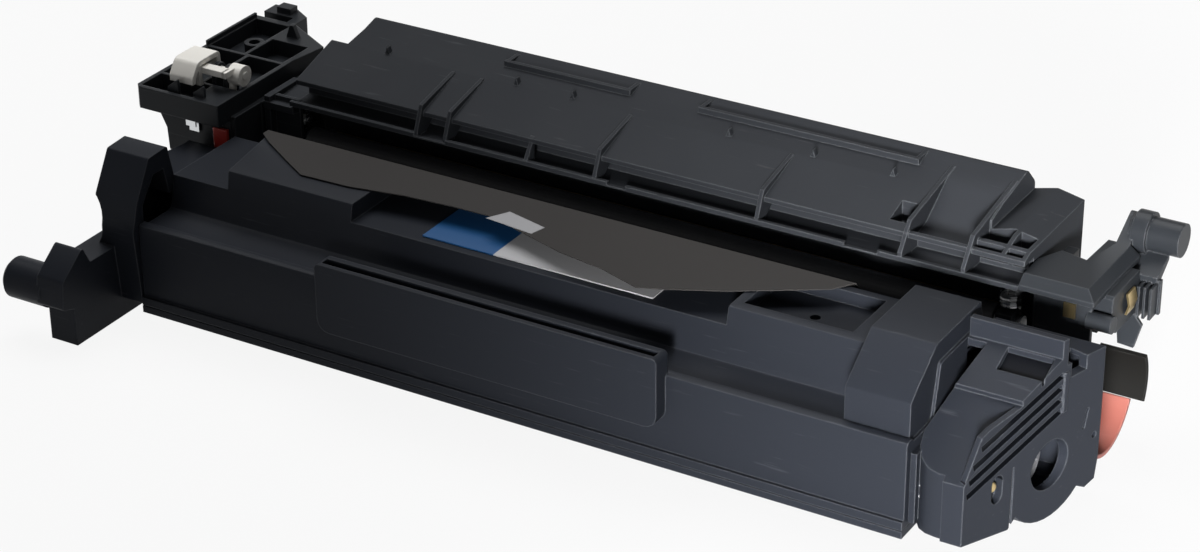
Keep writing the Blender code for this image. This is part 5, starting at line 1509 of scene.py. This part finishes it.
def make_left_bracket():
    """The tray with its skirt, side plate, post and fittings, and its holes."""
    left, right = LEFT_BRACKET_LEFT, LEFT_BRACKET_RIGHT
    under_tray = BRACKET_BOTTOM_Z + 0.0010
    skirt = prism("skirt", [
        (left + 0.0020, under_tray),
        (left + 0.0065, 0.0385),
        (left + 0.0070, SKIRT_BOTTOM_Z),
        (right - 0.0023, SKIRT_BOTTOM_Z),
        (right - 0.0023, under_tray),
    ], SKIRT_Y, SKIRT_Y + 0.0020, "Y")
    curtain = box(
        "curtain",
        (right - 0.0022, SKIRT_Y + 0.0003, SKIRT_BOTTOM_Z - 0.001),
        (right - 0.0006, 0.0190, under_tray + 0.0002),
    )
    plate = frame_lobe("lobe", right - FRAME_THICKNESS, right - 0.0002, 0.0185, under_tray + 0.0003)
    place = (TRAY_RIB_X - 0.0055, TRAY_RIB_Y + 0.0120)
    post = rod("post", 0.0033, TRAY_FLOOR_Z - 0.0005, BRACKET_TOP_Z - 0.001, place, "Z", sides=20)
    post_hole = rod("post_hole", 0.0019, TRAY_FLOOR_Z + 0.001, BRACKET_TOP_Z, place, "Z", sides=16)
    lug_hole = rod(
        "lug_hole", LEVER_PIN_RADIUS + RUNNING_GAP, LEVER_LEFT, LEVER_RIGHT + 0.006,
        (LEVER_Y, LEVER_Z), sides=16,
    )
    hole = rod("hole", DRUM_SHAFT_RADIUS - 0.001 + GAP, right - 0.01, right + 0.01, DRUM)
    bracket = join(tray_with_pockets(), plate, skirt, post, curtain, *tray_fittings())
    return cut(bracket, hole, lug_hole, post_hole)


fitted(make_left_bracket(), "left_bracket", "frame", frame_plastic, FRAME_EDGE)


# The right end frame. It is a flat plate on a side wall that carries the drum's driven end,
# with a tower for the charge contact, a comb and the boss that guides the cartridge in.
RIGHT_FRAME_X = 0.1325
RIGHT_BRACKET_RIGHT = 0.1495
RIGHT_BRACKET_FRONT_Y = 0.0182
RIGHT_BRACKET_REAR_Y = 0.0495
RIGHT_PLATE_LEFT = 0.1302
PLATE_BEVEL = 0.003
WEB_Y = 0.0235
BOSS_Y = 0.0585
BOSS_Z = 0.0555
BOSS_RADIUS = 0.005
BOSS_END_X = 0.1625
TOWER_RIGHT = 0.155
COMB_THICKNESS = 0.0008
BOSS = (BOSS_Y, BOSS_Z)


def make_right_bracket():
    """The bevelled plate on its wall, with web, arm, boss, wing, tower, comb and flag."""
    left, right = RIGHT_FRAME_X, RIGHT_BRACKET_RIGHT
    front, rear = RIGHT_BRACKET_FRONT_Y, RIGHT_BRACKET_REAR_Y
    low = BRACKET_TOP_Z - 0.004
    bevel_z = BRACKET_TOP_Z - PLATE_BEVEL + 0.0005
    side_view = prism("side_view", [
        (front, low),
        (front, bevel_z),
        (front + PLATE_BEVEL, BRACKET_TOP_Z),
        (rear + 0.002, BRACKET_TOP_Z),
        (rear + 0.002, low),
    ], RIGHT_PLATE_LEFT, right + PLATE_BEVEL)
    bevel = prism("bevel", [
        (right, BRACKET_TOP_Z + 0.001),
        (right, BRACKET_TOP_Z),
        (right + PLATE_BEVEL, bevel_z),
        (right + PLATE_BEVEL + 0.001, bevel_z),
        (right + PLATE_BEVEL + 0.001, BRACKET_TOP_Z + 0.001),
    ], front - 0.001, rear + 0.003, "Y")
    notch = prism("notch", [
        (RIGHT_PLATE_LEFT - 0.001, 0.0314),
        (RIGHT_PLATE_LEFT + 0.0003, 0.0314),
        (0.1340, 0.0390),
        (0.1423, 0.0369),
        (0.1428, rear + 0.003),
        (RIGHT_PLATE_LEFT - 0.001, rear + 0.003),
    ], low - 0.001, BRACKET_TOP_Z + 0.001, "Z")
    plate = cut(side_view, bevel, notch)
    plate.name = "right_frame"
    web = box("web", (left + 0.0005, WEB_Y, 0.0335), (right + 0.0005, WEB_Y + 0.0016, low + 0.001))
    side = frame_lobe("side", left, left + FRAME_THICKNESS, WEB_Y + 0.0004, low + 0.0015)
    arm = prism("arm", rounded([
        (0.0300, low + 0.0010),
        (0.0300, 0.0360),
        (0.0460, 0.0360),
        (0.0560, 0.0450),
        (BOSS_Y + 0.0045, BOSS_Z - 0.004, 0.002),
        (BOSS_Y + 0.0048, BOSS_Z + 0.0030, 0.002),
        (BOSS_Y + 0.0020, BOSS_Z + 0.0048, 0.002),
        (rear, BRACKET_TOP_Z - 0.0003),
    ]), right - 0.004, right)
    knob = rod("knob", BOSS_RADIUS + 0.0012, right - 0.001, right + 0.0035, BOSS, sides=24)
    boss = rod("boss", BOSS_RADIUS, right - 0.002, BOSS_END_X, BOSS, sides=24)
    wing = prism("wing", [
        (0.0475, 0.0440),
        (0.0560, 0.0500),
        (0.0560, 0.0515),
        (0.0475, 0.0478),
    ], right - 0.001, BOSS_END_X - 0.003)
    tower = prism("tower", [
        (0.0262, 0.0495),
        (0.0262, 0.0395),
        (0.0300, 0.0375),
        (0.0445, 0.0375),
        (0.0465, 0.0400),
        (0.0452, 0.0504),
        (0.0270, 0.0503),
    ], right - 0.0012, TOWER_RIGHT)
    stub = rod(
        "stub", 0.0026, right - 0.0005, TOWER_RIGHT + 0.0015, (WEB_Y + 0.0004, 0.0432), sides=20
    )
    comb_wall = box(
        "comb_wall", (right - 0.0008, 0.0480, 0.0362), (BOSS_END_X - 0.0020, 0.0494, 0.0470)
    )
    combs = [
        box("comb", (x, 0.0432, 0.0365), (x + COMB_THICKNESS, 0.0486, 0.0462))
        for x in (TOWER_RIGHT + 0.0004, TOWER_RIGHT + 0.0022, TOWER_RIGHT + 0.0040)
    ]
    flag = prism("flag", [
        (right + 0.0002, 0.0382),
        (TOWER_RIGHT - 0.0003, 0.0382),
        (TOWER_RIGHT + 0.0027, 0.0344),
        (TOWER_RIGHT + 0.0007, 0.0268),
        (right + 0.0014, 0.0272),
    ], 0.0428, 0.0440, "Y")
    bracket = join(plate, web, side, arm, knob, boss, wing, tower, stub, comb_wall, *combs, flag)
    hole = rod("hole", DRUM_SHAFT_RADIUS + RUNNING_GAP, left - 0.01, right + 0.01, DRUM)
    return cut(bracket, hole)


fitted(make_right_bracket(), "right_bracket", "frame", frame_plastic, FRAME_EDGE)


# The rollers. The charge roller is a soft black rubber tube on a steel shaft, the sleeve
# is blasted aluminium with a dark coating, and the drum is aluminium with a blue-green one.
RUBBER_BLACK = (0.045, 0.046, 0.050)
DRUM_GREEN = (0.01, 0.10, 0.14)
SLEEVE_GREY = (0.10, 0.10, 0.11)


def smooth_roller(name, colour, roughness, metallic=0.0, coat=0.0, grain=0.0):
    """A smooth surface with the fine rings that turning or coating leaves round it."""
    material, tree, surface = new_finish(name, {"Metallic": metallic, "Coat Weight": coat})
    paler = [min(1, 1.25 * channel) for channel in colour]
    place = add(tree, "TexCoord")
    lines = add(tree, "Mapping", {"Scale": (1500, 20, 20)})
    turning = add(tree, "TexNoise", {"Scale": 1})
    tone = add(tree, "Mix", {"A": (*colour, 1), "B": (*paler, 1)}, data_type="RGBA")
    shine = add(tree, "MapRange", {"To Min": roughness * 0.85, "To Max": roughness * 1.15})
    bump = add(tree, "Bump", {"Strength": 0.15 + grain, "Distance": 0.00001})
    link = tree.links.new
    link(place.outputs["Object"], lines.inputs["Vector"])
    link(lines.outputs[0], turning.inputs["Vector"])
    link(turning.outputs["Fac"], tone.inputs["Factor"])
    link(tone.outputs["Result"], surface.inputs["Base Color"])
    link(turning.outputs["Fac"], shine.inputs["Value"])
    link(shine.outputs[0], surface.inputs["Roughness"])
    link(turning.outputs["Fac"], bump.inputs["Height"])
    link(bump.outputs[0], surface.inputs["Normal"])
    return material


charge_rubber = smooth_roller("charge_rubber", RUBBER_BLACK, roughness=0.5)
drum_coating = smooth_roller("drum_coating", DRUM_GREEN, roughness=0.15, coat=0.6)
sleeve_coating = smooth_roller(
    "sleeve_coating", SLEEVE_GREY, roughness=0.45, metallic=0.7, grain=0.3
)
dress("charge_roller", charge_rubber, 0)
dress("photosensitive_drum", drum_coating, 0)
dress("developer_sleeve", sleeve_coating, 0)


# The metal parts. Shafts, springs and blade holders are plain steel, and the bushes, the
# screw and the right-hand contacts are brass or brass-plated.
STEEL_PARTS = (
    "charge_shaft", "drum_pin", "magnet_core", "blade_holder", "blade_bracket",
    "charge_spring_left", "charge_spring_right", "drum_contact",
)
BRASS_PARTS = ("cap_screw", "sleeve_bush_left", "sleeve_bush_right")
steel = smooth_roller("bright_steel", (0.55, 0.56, 0.57), roughness=0.28, metallic=1.0)
brass = smooth_roller("yellow_brass", (0.68, 0.52, 0.26), roughness=0.30, metallic=1.0)
for steel_part in STEEL_PARTS:
    dress(steel_part, steel, 0)
for brass_part in BRASS_PARTS:
    dress(brass_part, brass, 0)


# The two brass contacts at the driven end. Each is a bent strip; one stands out of the tower
# for the charge roller, and one lies against the web for the sleeve.
CONTACT_THICKNESS = 0.0006
STRIP_FOOT_X = TOWER_RIGHT + GAP


def make_outer_contact():
    """The bowed strip on the tower, which presses against the printer's own contact."""
    return prism("outer_contact", [
        (STRIP_FOOT_X, 0.0410),
        (STRIP_FOOT_X + CONTACT_THICKNESS, 0.0410),
        (STRIP_FOOT_X + CONTACT_THICKNESS + 0.0008, 0.0440),
        (STRIP_FOOT_X + CONTACT_THICKNESS, 0.0475),
        (STRIP_FOOT_X, 0.0475),
        (STRIP_FOOT_X + 0.0008, 0.0440),
    ], 0.0350, 0.0405, "Y")


def make_inner_contact():
    """The flat strip on the web."""
    return box(
        "inner_contact",
        (RIGHT_FRAME_X + 0.0095, WEB_Y - GAP - 0.0007, 0.0428),
        (RIGHT_FRAME_X + 0.0130, WEB_Y - GAP, 0.0472),
    )


fitted(make_outer_contact(), "charge_contact", "frame", brass, 0)
fitted(make_inner_contact(), "sleeve_contact", "frame", brass, 0)


# The gears, the stirrer, the plug, the white rocker and the red tab. They are moulded in
# acetal and polystyrene, without grain, and keep the resin's own soft gloss.
# Each pair is a body colour and a paler one for scuffs and edges; on the edges the paler one is
# partly wear and partly a painted highlight.
GREY_RESIN = (0.17, 0.17, 0.18), (0.22, 0.22, 0.23)
WHITE_RESIN = (0.60, 0.60, 0.57), (0.66, 0.66, 0.63)
WARM_WHITE = (0.74, 0.72, 0.67), (0.80, 0.78, 0.74)
TAB_RED = (0.50, 0.035, 0.025), (0.58, 0.07, 0.05)


def polished_plastic(name, tones, roughness):
    """Ungrained plastic in a body colour and a slightly paler one at its edges, partly wear and
    partly a painted highlight.
    """
    return moulded_plastic(name, *tones, roughness, gloss=0.5, grain=0.001, height=0.000005)


gear_grey = polished_plastic("gear_grey", GREY_RESIN, 0.4)
gear_white = polished_plastic("gear_white", WHITE_RESIN, 0.4)
lever_white = polished_plastic("lever_white", WARM_WHITE, 0.38)
tab_red = polished_plastic("tab_red", TAB_RED, 0.35)
for grey_part in ("drive_coupling", "fill_plug"):
    dress(grey_part, gear_grey, 0)
for white_part in ("sleeve_gear", "agitator_gear", "agitator"):
    dress(white_part, gear_white, 0)
dress("red_tab", tab_red, 0.0002)


# The white rocker at the left end. It is one acetal moulding with a hollow hood, a bar and a
# knuckle, and it rocks on a pin between the left frame's lugs.
LEVER_HOOD_WALL = 0.0016
HOOD_RISE = 0.0055
HOOD_REACH = 0.0118
KNUCKLE_RADIUS = 0.0034


def beside_pin(*points):
    """Outline points given from the rocker's pin."""
    return [(LEVER_Y + y, LEVER_Z + z, *radius) for y, z, *radius in points]


def make_white_lever():
    """The rocker: a pin, a hollow hood with a side, a bar, an elbow, a knuckle and two legs."""
    wall = LEVER_HOOD_WALL
    hood_right = LEVER_LEFT + LEVER_HOOD_WIDTH
    pin = rod(
        "rocker", LEVER_PIN_RADIUS, hood_right - 0.0005, LEVER_RIGHT + 0.0004,
        (LEVER_Y, LEVER_Z), sides=16,
    )
    hood = prism("hood", rounded(beside_pin(
        (-HOOD_REACH, -0.0012),
        (-HOOD_REACH, 0.0010, 0.0015),
        (-0.0085, HOOD_RISE, 0.003),
        (0.0025, HOOD_RISE, 0.0015),
        (0.0030, 0.0005),
        (0.0030 - wall, 0.0005),
        (0.0025 - wall, HOOD_RISE - wall),
        (-0.0078, HOOD_RISE - wall, 0.002),
        (-HOOD_REACH + wall, 0),
        (-HOOD_REACH + wall, -0.0012),
    ), steps=3), LEVER_LEFT, hood_right)
    side = prism("side", beside_pin(
        (-0.0112, -0.0011),
        (-0.0112, -0.0004),
        (-0.0082, HOOD_RISE - 0.0007),
        (0.0020, HOOD_RISE - 0.0007),
        (0.0025, 0.0008),
        (-0.0070, -0.0010),
    ), LEVER_LEFT + 0.0003, LEVER_LEFT + wall)
    bar = prism("bar", beside_pin(
        (-0.0070, 0.0012), (-0.0070, 0.0032), (-0.0034, 0.0032), (-0.0034, 0.0012)
    ), hood_right - 0.004, KNUCKLE_LEFT + 0.001)
    elbow = prism("elbow", beside_pin(
        (-0.0066, 0.0009), (-0.0066, 0.0029), (-0.0005, 0.0029), (-0.0005, 0.0009)
    ), KNUCKLE_LEFT + 0.0002, KNUCKLE_LEFT + 0.0022)
    knuckle = rod(
        "knuckle", KNUCKLE_RADIUS, KNUCKLE_LEFT, LEVER_RIGHT, (LEVER_Y, LEVER_Z), sides=20
    )
    hood_leg = prism("leg", beside_pin(
        (-0.0085, 0.0048), (-0.0070, 0.0048), (-0.0062, -0.0030), (-0.0078, -0.0030)
    ), hood_right - 0.0018, hood_right - 0.0002)
    knuckle_leg = prism("leg", beside_pin(
        (-0.0025, 0.0010), (-0.0005, -0.0010), (-0.0012, -0.0052), (-0.0030, -0.0052)
    ), KNUCKLE_LEFT + 0.0003, KNUCKLE_LEFT + 0.0019)
    return join(pin, hood, side, bar, elbow, knuckle, hood_leg, knuckle_leg)


fitted(make_white_lever(), "white_lever", "lever", lever_white, 0.0002)


# The blades' working edges. The metering blade is brown silicone rubber and the cleaning
# blade amber urethane, both cast as strips.
SILICONE_BROWN = (0.10, 0.05, 0.025)
URETHANE_AMBER = (0.40, 0.26, 0.10)
silicone = smooth_roller("silicone_strip", SILICONE_BROWN, roughness=0.5)
urethane = smooth_roller("urethane_strip", URETHANE_AMBER, roughness=0.35, coat=0.2)
dress("metering_blade", silicone, 0)
dress("cleaning_blade", urethane, 0)


# The transport shield and the dark film over the drum's driven end. The shield is a thin
# orange-red shell that clips round the drum, and the film hangs above its right end.
SHIELD_THICKNESS = 0.0013
SHIELD_LEFT = -0.1252
SHIELD_RIGHT = 0.156
SHIELD_START = 218
FILM_LEFT = 0.1460
FILM_RIGHT = 0.1600
FILM_END = 391
SHIELD_ORANGE = (0.23, 0.074, 0.058)
# The paler shield and film colours go on scuffs and edges; on the edges they are partly wear and
# partly a painted highlight.
SHIELD_PALE_AND_HIGHLIT = (0.29, 0.115, 0.095)
FILM_BLACK = (0.007, 0.0068, 0.0063)
FILM_WORN_AND_HIGHLIT = (0.015, 0.015, 0.014)


def curved_wall(name, start, end, low, high, steps):
    """A stretch of the curved wall round the drum, between two angles."""
    outer = arc(DRUM, SHIELD_RADIUS, start, end, steps)
    inner = arc(DRUM, SHIELD_RADIUS - SHIELD_THICKNESS, end, start, steps)
    return prism(name, outer + inner, low, high)


shield_orange = moulded_plastic(
    "shield_orange", SHIELD_ORANGE, SHIELD_PALE_AND_HIGHLIT, roughness=0.42, gloss=0.2,
    grain=0.0008, height=0.000006,
)
film_black = moulded_plastic(
    "film_black", FILM_BLACK, FILM_WORN_AND_HIGHLIT, roughness=0.6, gloss=0.05, grain=0.0005, height=0.00003
)
shield = curved_wall(
    "transport_shield", SHIELD_START, SHIELD_END, SHIELD_LEFT, SHIELD_RIGHT, steps=18
)
film_start = SHIELD_END + math.degrees(GAP / SHIELD_RADIUS)
film = curved_wall("film_flap", film_start, FILM_END, FILM_LEFT, FILM_RIGHT, steps=10)
fitted(shield, "drum_shield", "frame", shield_orange, 0.0002)
fitted(film, "end_film", "frame", film_black, 0)
